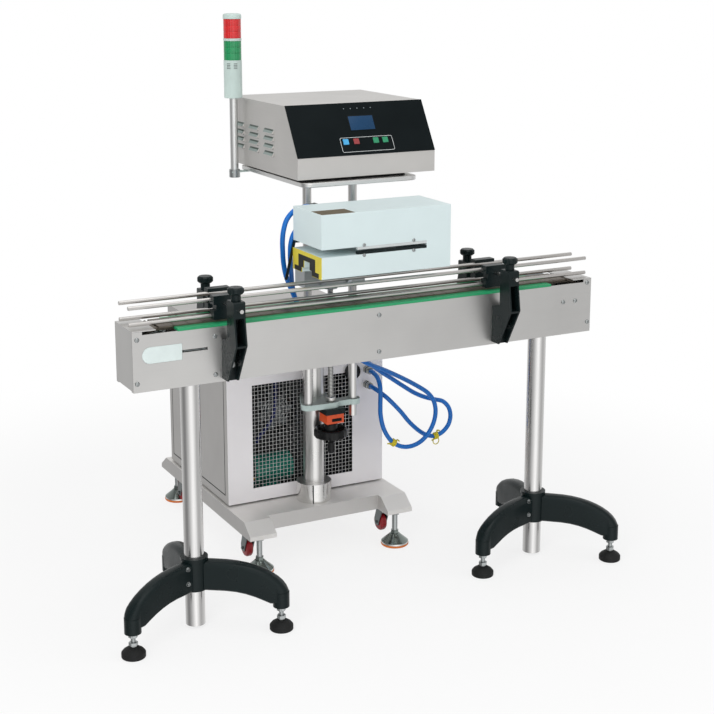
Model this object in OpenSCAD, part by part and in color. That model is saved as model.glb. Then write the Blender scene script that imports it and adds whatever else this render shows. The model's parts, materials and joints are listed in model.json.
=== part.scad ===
// Induction cap sealer: slat-chain conveyor on tripod legs, cooling cabinet, screw lift,
// sealing head and control box.
// Lengths are in millimetres. +X runs along the conveyor, +Y from the conveyor to the cabinet, +Z up.

/* [Conveyor] */
// Length of the conveyor
conveyor_l = 1320; // [1290:5:1400]
// Outside width of the conveyor
conveyor_w = 124; // [120:1:134]
// Height of the chain's top face above the floor
chain_top = 800; // [790:1:815]
// Height from the bottom of the side panels to the chain's top
panel_h = 150; // [146:1:156]
// Thickness of the conveyor's sheet metal
sheet_t = 2.5; // [2:0.5:3]
// Width of the chain's slats
slat_w = 82.5; // [78:0.5:84]
// Thickness of a slat
slat_t = 4; // [3:0.5:5]
// Length of the tensioner cover at the left end
cover_l = 240; // [225:1:250]
// Distance of the idler shaft from the left end
idler_in = 75; // [72:1:80]
// Distance of the drive shaft from the right end
drive_in = 72; // [70:1:80]
// Diameter of the two shafts
shaft_d = 20; // [16:1:24]

/* [Guide rails] */
// Diameter of the guide rods and of their arms
rod_d = 10; // [8:1:12]
// Distance from the lane's middle to a guide rod
rail_half = 33; // [30:1:36]
// Height of the lower guide rods above the chain
rod_low = 10; // [9:1:12]
// Height of the upper guide rods above the chain
rod_high = 50; // [46:1:52]
// Place of the left brackets along the conveyor
bracket_left = 241; // [230:1:255]
// Distance of the right brackets from the right end
bracket_in_right = 306; // [295:1:320]
// How far the rear brackets stand to the right of the front ones
rear_shift = 18; // [10:1:24]
// How far the rear brackets stand below the front ones
rear_drop = 20; // [0:1:22]
// Width of a bracket
bracket_w = 30; // [26:1:36]
// Diameter of a clamp knob
knob_d = 40; // [34:1:44]

/* [Legs] */
// Diameter of the leg tubes
leg_d = 50; // [45:1:54]
// Distance of the left leg from the left end
leg_in_left = 165; // [155:1:175]
// Distance of the right leg from the right end
leg_in_right = 132; // [125:1:145]
// Reach of a tripod from the tube's axis to a foot
tripod_r = 221; // [210:1:235]
// Turn of the left tripod in degrees
tripod_turn_left = -4; // [-15:1:5]
// Turn of the right tripod in degrees
tripod_turn_right = -11; // [-15:1:5]
// Diameter of a tripod's foot pad
pad_d = 60; // [54:1:66]

/* [Machine base] */
// Width of the base over both beams
base_w = 506; // [500:1:520]
// Length of a beam
base_l = 694; // [680:2:720]
// Width of a beam
beam_w = 80; // [76:1:86]
// Height of a beam's top above the floor
base_top = 146; // [142:1:150]
// Height of a beam
beam_h = 43; // [38:1:46]
// Diameter of a levelling foot
foot_d = 80; // [70:1:84]
// Diameter of a caster wheel
wheel_d = 52; // [46:1:54]

/* [Cabinet] */
// Width of the cabinet
cab_w = 490; // [480:1:496]
// Depth of the cabinet
cab_d = 455; // [440:1:470]
// Height of the cabinet
cab_h = 490; // [480:1:520]
// Thickness of the cabinet's sheet
cab_t = 2; // [1.5:0.5:3]
// Width of the mesh window
window_w = 315; // [300:1:320]
// Height of the mesh window
window_h = 302; // [290:1:310]
// Diameter of the cooling fan
fan_d = 120; // [100:1:130]

/* [Lift] */
// Diameter of the column
col_d = 60; // [54:1:64]
// Diameter of the two guide posts
post_d = 24; // [20:1:26]
// Distance from the lead screw to a guide post
post_half = 68.5; // [66:0.5:72]
// Diameter of the lead screw
screw_d = 16; // [14:1:18]
// Diameter of the handwheel
handwheel_d = 95; // [90:1:104]
// Thickness of the clamp plate
plate_t = 16; // [14:1:18]

/* [Sealing head] */
// Length of the head
head_l = 369; // [360:1:380]
// Depth of the head
head_w = 164; // [160:1:170]
// Height of the head
head_h = 162; // [158:1:168]
// Gap between the chain and the head
head_gap = 80; // [76:1:86]
// Height of the open slot
slot_h = 19; // [16:1:21]
// Width of the tunnel for the caps
neck_w = 35; // [32:1:38]

/* [Control box] */
// Width of the control box
box_w = 408; // [400:1:414]
// Depth of the control box
box_d = 432; // [420:1:440]
// Height of the control box
box_h = 185; // [178:1:190]
// Height of the box's upright front
brow_h = 56; // [50:1:60]
// Thickness of the shelf plate
shelf_t = 12; // [10:1:14]
// Side of a key
key_w = 16; // [14:1:18]
// Diameter of the signal tower
tower_d = 50; // [46:1:54]

/* [Hidden] */
$fn = 48;

// Clearances: a running fit on a radius, a push fit, a free gap and the seam between two sheets
run = 0.05;
push = 0.04;
free = 0.3;
seam = 0.5;

// Levels of the conveyor
panel_z0 = chain_top - panel_h;
strip_h = 6;
edge_z = chain_top - slat_t - strip_h;
cover_z = chain_top - sheet_t;
chain_r = 62;
shaft_z = chain_top - chain_r;
spine_r = chain_r - slat_t;
spine_h = 7;
flange_w = 15;
end_lap = 26;
lane_y = conveyor_w / 2;
idler_x = idler_in;
drive_x = conveyor_l - drive_in;
top_plate_l = 60;

// Tensioner window and its block
window_x0 = 24;
window_x1 = 125;
tension_h = 41;
tension_slot_x1 = 190;
tension_slot_h = 6;
tongue_in = 0.4;
block_t = 18;
block_lap = 8;
shaft_in = 1;
shaft_out = 60;
drive_block_l = 60;
drive_block_h = 48;

// Chain run
chain_span = drive_x - idler_x;
slat_count = round(chain_span / 38.1);
slat_pitch = chain_span / slat_count;
slat_gap = 1.2;
spine_in = 24;
spine_w = 10;
turn_slats = 4;
turn_in = 3;

// Wear strips
strip_x0 = 114;
strip_x1 = conveyor_l - 134;
strip_lap = 5;
strip_lip = 2;
strip_lip_h = 7;
strip_in = (conveyor_w - slat_w) / 2 + strip_lap;

// Brackets and guide rails
bracket_right = conveyor_l - bracket_in_right;
bracket_up = 8;
bracket_step_down = 43;
bracket_over = 12;
bracket_head_h = 40;
bracket_z0 = panel_z0 + bracket_up;
bracket_step = chain_top - bracket_step_down;
bracket_top = chain_top + rod_high + bracket_over;
bracket_off = 36;
bracket_front = 80;
bracket_kink = 90;
bracket_foot = 34;
bracket_wall = 4;
bracket_back = 6;
bracket_floor = 26;
bracket_rib = 6;
bracket_ramp = 8;
bracket_ease = 3;
post_mid = (bracket_off + bracket_front) / 2;
arm_down = 20;
arm_out = 15;
arm_gap = 2;
rail_y = lane_y - rail_half;
rod_short = 4;
rod_l = conveyor_l - rod_short;
clamp_w = 60;
clamp_t = 24;
clamp_lip = 4;
clamp_under = 1;
clamp_over = 7;
clamp_notch = 20;
clamp_z0 = chain_top + rod_low - rod_d / 2 - clamp_under;
clamp_z1 = chain_top + rod_high + rod_d / 2 + clamp_over;
knob_h = 17;
shank_d = 24;
shank_h = 16;
stud_d = 8;
flutes = 8;
flute_d = 8;
flute_out = 2;
knob_ease = 4;

// Legs and tripods
leg_x = [leg_in_left, conveyor_l - leg_in_right];
leg_wall = 2;
leg_z0 = 6;
saddle_l = 100;
saddle_t = 8;
saddle_z0 = panel_z0 + sheet_t;
turns = [tripod_turn_left, tripod_turn_right];
hub_d = leg_d + 16;
hub_z0 = 102;
hub_z1 = 188;
hub_rim = 8;
boss_d = 42;
boss_z0 = 63;
boss_h = 40;
arm_half = 20;
arm_steps = 12;
arm_r0 = leg_d / 2 + 3;
arm_r1 = tripod_r + boss_d / 2 - 2;
arm_flat = 70;
arm_crown = 88;
pad_h = 28;
tripod_stud_d = 12;
tripod_nut_d = 22;
tripod_nut_h = 10;

// Machine base
base_x0 = 406;
base_y0 = 266;
base_y1 = base_y0 + base_l;
base_z0 = base_top - beam_h;
slope_l = 42;
lip_h = 12;
beam_x = [base_x0 + beam_w / 2, base_x0 + base_w - beam_w / 2];
cross_y0 = 326;
cross_y1 = 520;
cross_t = 4;
foot_in = 30;
foot_y = [base_y0 + foot_in, base_y1 - foot_in];
foot_rubber_h = 7;
foot_cone_h = 27;
foot_stud_d = 16;
foot_nut_d = 28;
foot_nut_h = 11;
caster_in = 98;
caster_y = [base_y0 + caster_in, base_y1 - caster_in];
caster_plate_t = 5;
caster_plate_l = 60;
caster_plate_w = 50;
king_d = 12;
trail = 18;
axle_z = 40;
axle_d = 8;
wheel_w = 20;
fork_gap = 1;
fork_t = 3;
fork_crown_h = 9;
fork_crown_d = 46;
fork_leg_w = 26;

// Cabinet
cab_x0 = base_x0 + (base_w - cab_w) / 2;
cab_y0 = 433;
cab_pad = 4;
pad_in = 88;
pad_w = 50;
pad_back = 4;
cab_z0 = base_top + cab_pad;
window_in = 76;
window_up = 39;
window_x = cab_x0 + window_in;
window_z = cab_z0 + window_up;
mesh_d = 3;
mesh_lap = 8;
mesh_across = 10;
mesh_up = 10;
fitting_x = 851;
fitting_high = 343;
fitting_low = 298;
fitting_z = [cab_z0 + fitting_high, cab_z0 + fitting_low];
fitting_l = 28;
fitting_d = 20;
cap_x = 803;
cap_d = 46;
cap_t = 12;
pump_in = 150;
pump_back = 90;
pump_x = cab_x0 + pump_in;
pump_y = cab_y0 + pump_back;
pump_d = 84;
pump_l = 150;
pump_foot_h = 18;
radiator_in = 196;
radiator_back = 150;
radiator_x = cab_x0 + radiator_in;
radiator_y = cab_y0 + radiator_back;
radiator_w = 250;
radiator_t = 40;
fan_up = 222;
fan_before = 34;
shroud_l = 40;
fan_z = cab_z0 + fan_up;
fan_y = radiator_y - fan_before;
fan_hub_d = 36;
fan_blades = 7;

// Lift
col_x = 659;
col_y = 390;
col_top = 640;
collar_d = 100;
collar_h = 56;
post_y = 310;
screw_x = 674;
plate_z = 440;
boss_wall = 8;
web_w = 28;
right_post_drop = 35;
indicator_w = 52;
indicator_d = 48;
indicator_h = 27;
indicator_base_h = 16;
wheel_z = 352;
wheel_rim = 25;
grip_d = 20;
grip_h = 34;
screw_top = 1000;
collar_t = 12;
carriage_w = post_half * 2 + post_d + 22;
carriage_d = 60;
carriage_h = 70;
carriage_arm_t = 12;
carriage_arm_half = 40;

// Sealing head
head_x0 = 487;
head_z0 = chain_top + head_gap;
head_y0 = lane_y - head_w / 2;
head_y1 = lane_y + head_w / 2;
slot_up = 55;
slot_z0 = head_z0 + slot_up;
slot_l = 298;
neck_h = 32;
neck_top = head_z0 + neck_h;
shoulder_w = 60;
shoulder_h = 13;
shoulder_top = head_z0 + shoulder_h;
entry_t = 2;
inlay_w = 94;
inlay_d = 64;
inlay_t = 2;
inlay_edge = 2;
strip_start = 100;
slot_strip_h = 7;
slot_strip_d = 12;
elbow_d = 18;
elbow_x = [556, 565];
elbow_high = 153;
elbow_low = 113;
elbow_z = [head_z0 + elbow_high, head_z0 + elbow_low];
elbow_l = 15;
elbow_out = [19, 10];
hose_d = 13;
carriage_down = 90;
carriage_z0 = head_z0 - carriage_down;
arm_root_high = 120;
arm_root_low = 20;

// Control box and tower
shelf_x0 = 534;
shelf_y0 = 175;
shelf_z = 1078;
shelf_w = 339;
shelf_d = 425;
shelf_r = 25;
box_x0 = 526;
box_y0 = 198;
plinth_h = 6;
plinth_in = 20;
box_z0 = shelf_z + shelf_t + plinth_h;
brow_back = 77.5;
slope_h = box_h - brow_h;
slope_len = sqrt(brow_back * brow_back + slope_h * slope_h);
slope_a = atan2(slope_h, brow_back);
box_t = 3;
face_t = 2;
key_u = [149, 180, 238, 266];
key_v = 112;
key_h = 9;
key_proud = 1.5;
louvre_w = 58;
louvre_h = 12;
louvre_out = 6;
louvre_cols = 3;
louvre_rows = 4;
louvre_lip = 2;
louvre_step_y = 98;
louvre_step_z = 20;
louvre_in = 176;
louvre_up = 45;
louvre_y0 = box_y0 + louvre_in;
louvre_z0 = box_z0 + louvre_up;
tower_off = 23;
tower_from_back = 70;
tower_x = box_x0 - tower_off;
tower_y = box_y0 + box_d - tower_from_back;
tower_nut_d = 30;
tower_nut_h = 22;
tower_nut_down = 17;
tower_nut_z = shelf_z - tower_nut_down;
tower_pole_d = 22;
tower_z = box_z0 + box_h;
tower_body_h = 103;
lens_h = 52;
ring_h = 7;
tower_cap_h = 14;

// Hose routes, points chosen by hand
supply_route = [
    [851, 405, 493], [851, 393, 493], [851, 367, 486], [850, 348, 467], [848, 341, 441], [845, 336, 412],
    [845, 334, 382], [853, 334, 346], [869, 334, 314], [891, 334, 290], [919, 334, 276], [950, 334, 274],
    [980, 334, 284], [1004, 334, 305], [1021, 334, 335], [1027, 334, 368], [1020, 334, 400],
    [1000, 333, 427], [964, 330, 453], [906, 318, 488], [840, 300, 524], [768, 273, 561], [690, 255, 612],
    [634, 243, 655], [582, 231, 702], [540, 218, 752], [510, 205, 806], [488, 193, 850], [476, 182, 888],
    [470, 173, 922], [467, 167, 950], [469, 164, 977], [478, 163, 1004], [499, 163, 1025],
    [527, 163, 1033], [541, 163, 1033]];
return_route = [
    [851, 405, 448], [851, 394, 448], [856, 368, 443], [869, 350, 430], [888, 343, 410], [918, 346, 378],
    [951, 354, 340], [984, 358, 309], [1011, 359, 291], [1039, 360, 283], [1066, 361, 290],
    [1087, 361, 310], [1094, 361, 337], [1087, 361, 364], [1067, 361, 385], [1039, 360, 395],
    [1003, 357, 408], [966, 352, 427], [927, 344, 453], [880, 331, 486], [838, 315, 515], [800, 302, 543],
    [750, 288, 577], [700, 283, 614], [648, 273, 654], [600, 262, 694], [560, 250, 736], [532, 236, 783],
    [515, 215, 825], [504, 196, 858], [494, 178, 886], [487, 164, 913], [485, 156, 940], [492, 154, 966],
    [511, 154, 986], [537, 154, 993], [550, 154, 993]];
hose_sides = 8;

// The frame's origin is the middle of the footprint, on the floor
function foot_at(i, k) = [leg_x[i] + tripod_r * cos(90 + 120 * k + turns[i]),
    lane_y + tripod_r * sin(90 + 120 * k + turns[i])];
foot_list = [for (i = [0, 1], k = [0, 1, 2]) foot_at(i, k)];
x_min = min([for (p = foot_list) p[0]]) - pad_d / 2;
x_max = max([for (p = foot_list) p[0]]) + pad_d / 2;
y_min = min([for (p = foot_list) p[1]]) - pad_d / 2;
y_max = foot_y[1] + foot_d / 2;
origin_x = (x_min + x_max) / 2;
origin_y = (y_min + y_max) / 2;

steel = [0.76, 0.75, 0.74];
bright = [0.85, 0.85, 0.86];
black = [0.12, 0.13, 0.13];

// Placing and drawing helpers
module in_frame() {
    translate([-origin_x, -origin_y, 0]) children();
}

module on_rear() {
    translate([0, conveyor_w, 0]) mirror([0, 1, 0]) children();
}

module block(x0, x1, y0, y1, z0, z1) {
    translate([x0, y0, z0]) cube([x1 - x0, y1 - y0, z1 - z0]);
}

module rod_x(d, x0, x1, y, z) {
    translate([x0, y, z]) rotate([0, 90, 0]) cylinder(d = d, h = x1 - x0);
}

module rod_y(d, y0, y1, x, z) {
    translate([x, y0, z]) rotate([-90, 0, 0]) cylinder(d = d, h = y1 - y0);
}

module rod_z(d, z0, z1, x, y) {
    translate([x, y, z0]) cylinder(d = d, h = z1 - z0);
}

// An outline in Y and Z drawn out along X
module along_x(x0, x1) {
    translate([x0, 0, 0]) rotate([90, 0, 90]) linear_extrude(x1 - x0) children();
}

// An outline in X and Z drawn out along Y
module along_y(y0, y1) {
    translate([0, y1, 0]) rotate([90, 0, 0]) linear_extrude(y1 - y0) children();
}

module rounded_plate(w, d, r) {
    translate([r, 0]) square([w - 2 * r, d]);
    translate([0, r]) square([w, d - 2 * r]);
    for (x = [r, w - r], y = [r, d - r]) translate([x, y]) circle(r);
}

// Closed skin over a list of rings that all have the same number of points
module skin(rings) {
    n = len(rings[0]);
    m = len(rings);
    sides = [for (i = [0:m - 2], j = [0:n - 1]) each [
        [i * n + j, i * n + (j + 1) % n, (i + 1) * n + (j + 1) % n],
        [i * n + j, (i + 1) * n + (j + 1) % n, (i + 1) * n + j]]];
    first = [for (j = [n - 1:-1:0]) j];
    last = [for (j = [0:n - 1]) (m - 1) * n + j];
    polyhedron(points = [for (ring = rings) each ring], faces = concat([first], sides, [last]));
}

// Conveyor frame
module panel_outline() {
    polygon([[0, panel_z0], [conveyor_l, panel_z0], [conveyor_l, cover_z], [conveyor_l - end_lap, cover_z],
        [conveyor_l - end_lap, edge_z], [end_lap, edge_z], [end_lap, cover_z], [0, cover_z]]);
}

module tension_tongue() {
    half = tension_h / 2;
    translate([window_x0 + half, shaft_z]) circle(half);
    translate([window_x0 + half, shaft_z - half]) square([window_x1 - window_x0 - half, tension_h]);
}

module tension_window() {
    tension_tongue();
    translate([window_x1 - 1, shaft_z - tension_slot_h / 2])
        square([tension_slot_x1 - window_x1 + 1, tension_slot_h]);
}

module bottom_flange(x0, x1) {
    block(x0, x1, 0, flange_w, panel_z0, panel_z0 + sheet_t);
}

module front_panels() {
    color(steel) in_frame() {
        along_y(0, sheet_t) intersection() {
            panel_outline();
            translate([cover_l + seam, 0]) square([conveyor_l, chain_top]);
        }
        bottom_flange(cover_l + seam, conveyor_l);
        along_y(0, sheet_t) difference() {
            intersection() {
                panel_outline();
                square([cover_l, chain_top]);
            }
            tension_window();
        }
        bottom_flange(0, cover_l);
    }
}

module rear_panel() {
    color(steel) in_frame() on_rear() {
        difference() {
            along_y(0, sheet_t) panel_outline();
            rod_y(shaft_d + 4, -1, sheet_t + 1, drive_x, shaft_z);
        }
        bottom_flange(0, conveyor_l);
    }
}

// A folded cover: the end face between the panels and the top plate over them
module end_cover() {
    block(0, top_plate_l, 0, conveyor_w, cover_z, chain_top);
    block(0, sheet_t, sheet_t, conveyor_w - sheet_t, panel_z0 + sheet_t, cover_z + 1);
}

module end_covers() {
    color(steel) in_frame() {
        end_cover();
        translate([conveyor_l, 0, 0]) mirror([1, 0, 0]) end_cover();
    }
}

// One straight run of the chain, with its slats facing up
module chain_run(x0, x1) {
    for (i = [0:slat_count - 1])
        translate([x0 + i * slat_pitch + slat_gap / 2, lane_y - slat_w / 2, chain_r - slat_t])
            cube([slat_pitch - slat_gap, slat_w, slat_t]);
    for (s = [-1, 1])
        translate([x0 - 1, lane_y + s * (spine_in + spine_w / 2) - spine_w / 2, spine_r - spine_h])
            cube([x1 - x0 + 2, spine_w, spine_h]);
    for (i = [1:slat_count - 1], s = [-1, 1])
        rod_y(spine_h + 3, lane_y + s * (spine_in + spine_w / 2) - spine_w / 2 - 1,
            lane_y + s * (spine_in + spine_w / 2) + spine_w / 2 + 1, x0 + i * slat_pitch,
            spine_r - spine_h / 2 - 1.5);
}

module slat_chain() {
    color([0.45, 0.42, 0.38]) in_frame() translate([0, 0, shaft_z]) {
        chain_run(idler_x, drive_x);
        mirror([0, 0, 1]) chain_run(idler_x, drive_x);
        translate([idler_x, 0, 0]) chain_end();
        translate([drive_x, 0, 0]) mirror([1, 0, 0]) chain_end();
    }
}

// The turn lies on the side away from the other shaft
module chain_end() {
    half_w = slat_pitch / 2 - slat_gap;
    step = 180 / turn_slats;
    for (k = [0:turn_slats - 1])
        rotate([0, -step * (k + 0.5), 0])
            translate([-half_w, lane_y - slat_w / 2, spine_r - turn_in]) cube([2 * half_w, slat_w, slat_t]);
    for (s = [-1, 1])
        intersection() {
            translate([0, lane_y + s * (spine_in + spine_w / 2) + spine_w / 2, 0]) rotate([90, 0, 0])
                difference() {
                    cylinder(r = spine_r + 1, h = spine_w);
                    translate([0, 0, -1]) cylinder(r = spine_r - spine_h, h = spine_w + 2);
                }
            block(-chain_r, 0, -conveyor_w, 2 * conveyor_w, -chain_r, chain_r);
        }
}

// A clip strip over a panel's top edge that carries the slats
module wear_strip() {
    along_x(strip_x0, strip_x1)
        polygon([[-strip_lip, edge_z - strip_lip_h + strip_h], [0, edge_z - strip_lip_h + strip_h], [0, edge_z],
            [strip_in, edge_z], [strip_in, edge_z + strip_h], [-strip_lip, edge_z + strip_h]]);
}

module wear_strips() {
    color([0.1, 0.62, 0.38]) in_frame() {
        wear_strip();
        on_rear() wear_strip();
    }
}

// Chain drive
module bearing_block(x, l, h) {
    difference() {
        block(x - l / 2, x + l / 2, sheet_t, sheet_t + block_t, shaft_z - h / 2, shaft_z + h / 2);
        rod_y(shaft_d + 2 * run, sheet_t + shaft_in - free, conveyor_w, x, shaft_z);
    }
}

// Take-up block of the idler, with a tongue that fills the window
module tension_block() {
    bearing_block(idler_x, window_x1 - window_x0, tension_h + 2 * block_lap);
    along_y(tongue_in, sheet_t + shaft_in / 2) offset(delta = -free) tension_tongue();
}

module bearing_blocks() {
    color([0.86, 0.92, 0.9]) in_frame() {
        tension_block();
        bearing_block(drive_x, drive_block_l, drive_block_h);
        on_rear() {
            bearing_block(idler_x, window_x1 - window_x0, tension_h + 2 * block_lap);
            difference() {
                bearing_block(drive_x, drive_block_l, drive_block_h);
                rod_y(shaft_d + 2 * run, 0, conveyor_w, drive_x, shaft_z);
            }
        }
    }
}

module sprocket(x) {
    teeth = 8;
    root_r = 44;
    tip_r = spine_r - 4;
    translate([x, lane_y + 7, shaft_z]) rotate([90, 0, 0]) linear_extrude(14) {
        circle(root_r);
        for (k = [0:teeth - 1]) rotate(k * 360 / teeth)
            polygon([[root_r - 6, -9], [tip_r, -4], [tip_r, 4], [root_r - 6, 9]]);
    }
    rod_y(shaft_d + 16, lane_y - 18, lane_y + 18, x, shaft_z);
}

module drive_shaft() {
    color(bright) in_frame() {
        sprocket(drive_x);
        rod_y(shaft_d, sheet_t + shaft_in, conveyor_w + shaft_out, drive_x, shaft_z);
    }
}

module idler_shaft() {
    color(bright) in_frame() {
        sprocket(idler_x);
        rod_y(shaft_d, sheet_t + shaft_in, conveyor_w - sheet_t - shaft_in, idler_x, shaft_z);
    }
}

// A right-angle gearbox on the rear panel with its motor along the conveyor
module gear_motor() {
    gear_half = 42;
    motor_d = 80;
    motor_l = 140;
    motor_down = 14;
    flange_d = 60;
    flange_t = 6;
    fin_out = 3;
    fin_t = 6;
    fin_step = 14;
    fin_in = 30;
    fins = 6;
    gear_d = motor_d + 4 * fin_out;
    motor_y = conveyor_w + motor_d / 2 + fin_out + free;
    motor_z = shaft_z - motor_down;
    motor_x1 = drive_x - gear_half + 2;
    gear_y1 = conveyor_w + gear_d;
    color([0.32, 0.35, 0.38]) in_frame() difference() {
        union() {
            block(drive_x - gear_half, drive_x + gear_half, conveyor_w, gear_y1, shaft_z - gear_half,
                shaft_z + gear_half);
            rod_y(flange_d, gear_y1 - 1, gear_y1 + flange_t, drive_x, shaft_z);
            rod_x(motor_d, motor_x1 - motor_l, motor_x1, motor_y, motor_z);
            for (k = [0:fins - 1])
                rod_x(motor_d + 2 * fin_out, motor_x1 - fin_in - fin_step * k,
                    motor_x1 - fin_in - fin_step * k + fin_t, motor_y, motor_z);
        }
        rod_y(shaft_d + 2 * run, conveyor_w - 1, conveyor_w + shaft_out + 2, drive_x, shaft_z);
    }
}

// Guide rails and brackets; drop lowers a bracket's head with its arm and knob
function arm_z(drop) = bracket_top - arm_down - drop;

module bracket(x, drop) {
    half = bracket_w / 2;
    inner = half - bracket_wall;
    top = bracket_top - drop;
    head = top - bracket_head_h;
    difference() {
        along_x(x - half, x + half)
            polygon([[0, bracket_z0], [0, bracket_step], [-bracket_off, bracket_step + bracket_ramp],
                [-bracket_off, top - bracket_ease], [-bracket_off - bracket_ease, top],
                [-bracket_front + bracket_ease, top], [-bracket_front, top - bracket_ease],
                [-bracket_front, head], [-bracket_kink, bracket_step], [-bracket_foot, bracket_z0]]);
        block(x - inner, x + inner, -bracket_kink - 1, -bracket_off - bracket_back, bracket_step, head);
        block(x - inner, x + inner, -bracket_kink - 1, -bracket_floor, bracket_z0 - 1,
            bracket_step - bracket_rib);
        rod_y(rod_d + 2 * run, -bracket_front - 1, -bracket_off + 1, x, arm_z(drop));
        rod_z(stud_d + 2 * run, arm_z(drop), top + 1, x, -post_mid);
    }
}

module side_brackets() {
    color(black) in_frame() {
        for (x = [bracket_left, bracket_right]) {
            bracket(x, 0);
            on_rear() bracket(x + rear_shift, rear_drop);
        }
    }
}

module guide_rods(shift, drop) {
    for (z = [rod_low, rod_high])
        rod_x(rod_d, (conveyor_l - rod_l) / 2, (conveyor_l + rod_l) / 2, rail_y, chain_top + z);
    for (x = [bracket_left, bracket_right])
        rod_y(rod_d, -bracket_front - arm_out, rail_y - rod_d / 2 - arm_gap, x + shift, arm_z(drop));
}

module rail_clamps(shift, drop) {
    for (x = [bracket_left + shift, bracket_right + shift])
        difference() {
            block(x - clamp_w / 2, x + clamp_w / 2, rail_y + clamp_lip - clamp_t, rail_y + clamp_lip,
                clamp_z0, clamp_z1);
            for (z = [rod_low, rod_high])
                rod_x(rod_d + 2 * push, x - clamp_w, x + clamp_w, rail_y, chain_top + z);
            rod_y(rod_d + 2 * push, rail_y - clamp_t, rail_y - rod_d / 2 - arm_gap, x, arm_z(drop));
            for (s = [-1, 1])
                translate([x + s * clamp_w / 2, rail_y + clamp_lip, (clamp_z0 + clamp_z1) / 2])
                    rotate([90, 45, 0]) cylinder(d = clamp_notch, h = clamp_t, $fn = 4);
        }
}

module front_rods() { color(bright) in_frame() guide_rods(0, 0); }
module rear_rods() { color(bright) in_frame() on_rear() guide_rods(rear_shift, rear_drop); }
module front_clamps() { color(black) in_frame() rail_clamps(0, 0); }
module rear_clamps() { color(black) in_frame() on_rear() rail_clamps(rear_shift, rear_drop); }

// A fluted clamp knob with its shank and stud
module clamp_knob(x, drop) {
    z0 = bracket_top - drop + free;
    z1 = z0 + shank_h;
    r = knob_d / 2;
    stud_z = arm_z(drop) + rod_d / 2 + free;
    translate([x, -post_mid, 0]) {
        difference() {
            rotate_extrude() polygon([[0, z1], [r - knob_ease, z1], [r, z1 + knob_ease],
                [r, z1 + knob_h - knob_ease], [r - knob_ease, z1 + knob_h], [0, z1 + knob_h]]);
            for (k = [0:flutes - 1]) rotate(k * 360 / flutes)
                translate([r + flute_out, 0, z1 - 1]) cylinder(d = flute_d, h = knob_h + 2);
        }
        translate([0, 0, z0]) cylinder(d = shank_d, h = shank_h + 1);
        translate([0, 0, stud_z]) cylinder(d = stud_d, h = z0 - stud_z + 1);
    }
}

module knob_front_left() { color(black) in_frame() clamp_knob(bracket_left, 0); }
module knob_front_right() { color(black) in_frame() clamp_knob(bracket_right, 0); }
module knob_rear_left() {
    color(black) in_frame() on_rear() clamp_knob(bracket_left + rear_shift, rear_drop);
}
module knob_rear_right() {
    color(black) in_frame() on_rear() clamp_knob(bracket_right + rear_shift, rear_drop);
}

// Legs: a tube with a saddle plate that sits on the panels' bottom flanges
module leg_tubes() {
    color(bright) in_frame() for (x = leg_x) {
        difference() {
            rod_z(leg_d, leg_z0, saddle_z0 + 1, x, lane_y);
            rod_z(leg_d - 2 * leg_wall, leg_z0 - 1, saddle_z0 - 4, x, lane_y);
        }
        block(x - saddle_l / 2, x + saddle_l / 2, sheet_t + free, conveyor_w - sheet_t - free,
            saddle_z0, saddle_z0 + saddle_t);
    }
}

// Section of a tripod arm at a distance from the tube's axis
function arm_r(i) = arm_r0 + (arm_r1 - arm_r0) * sin(90 * i / arm_steps);
function arm_top(r) = r < arm_flat ? hub_z1 - hub_rim - 1
    : arm_crown + (hub_z1 - hub_rim - 1 - arm_crown) * sqrt(1 - pow((r - arm_flat) / (arm_r1 + 3 - arm_flat), 2));
function arm_low(r) = max(boss_z0 + 12, hub_z0 + 1 - 32 * pow(max(0, r - 80) / (tripod_r - 99), 2));
function arm_wide(r) = r < tripod_r ? arm_half : sqrt(pow(arm_half, 2) - pow(r - tripod_r, 2));
function arm_ring(r) =
    let (w = arm_wide(r), t = arm_top(r), b = arm_low(r), c = min(14, w * 0.7), e = min(4, w * 0.3))
    concat([for (a = [0:30:90]) [r, w - c + c * cos(a), t - c + c * sin(a)]],
        [for (a = [90:30:180]) [r, -w + c + c * cos(a), t - c + c * sin(a)]],
        [[r, -w, b + e], [r, -w + e, b], [r, w - e, b], [r, w, b + e]]);

module tripod(i) {
    translate([leg_x[i], lane_y, 0]) difference() {
        union() {
            translate([0, 0, hub_z0]) cylinder(d = hub_d, h = hub_z1 - hub_z0);
            translate([0, 0, hub_z1 - hub_rim]) cylinder(d = hub_d + 4, h = hub_rim);
            for (k = [0:2]) rotate(90 + 120 * k + turns[i]) {
                skin([for (s = [arm_steps:-1:0]) arm_ring(arm_r(s))]);
                translate([tripod_r, 0, boss_z0]) cylinder(d = boss_d, h = boss_h);
            }
        }
        translate([0, 0, hub_z0 - 1]) cylinder(d = leg_d + 2 * push, h = hub_z1 - hub_z0 + 2);
    }
}

module tripods() {
    color(black) in_frame() for (i = [0, 1]) tripod(i);
}

// Pads that touch the floor: rubber cones under the tripods, rubber discs under the levelling feet
module foot_pads() {
    color(black) in_frame() {
        for (p = foot_list) translate([p[0], p[1], 0])
            rotate_extrude() polygon([[0, 0], [pad_d / 2 - 2, 0], [pad_d / 2, 2], [pad_d / 2, 13],
                [pad_d / 2 - 5, 19], [13, pad_h - 1], [9, pad_h], [0, pad_h]]);
        for (x = beam_x, y = foot_y) translate([x, y, 0])
            rotate_extrude() polygon([[0, 0], [foot_d / 2 - 3, 0], [foot_d / 2, 3], [foot_d / 2, foot_rubber_h],
                [0, foot_rubber_h]]);
    }
}

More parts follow.
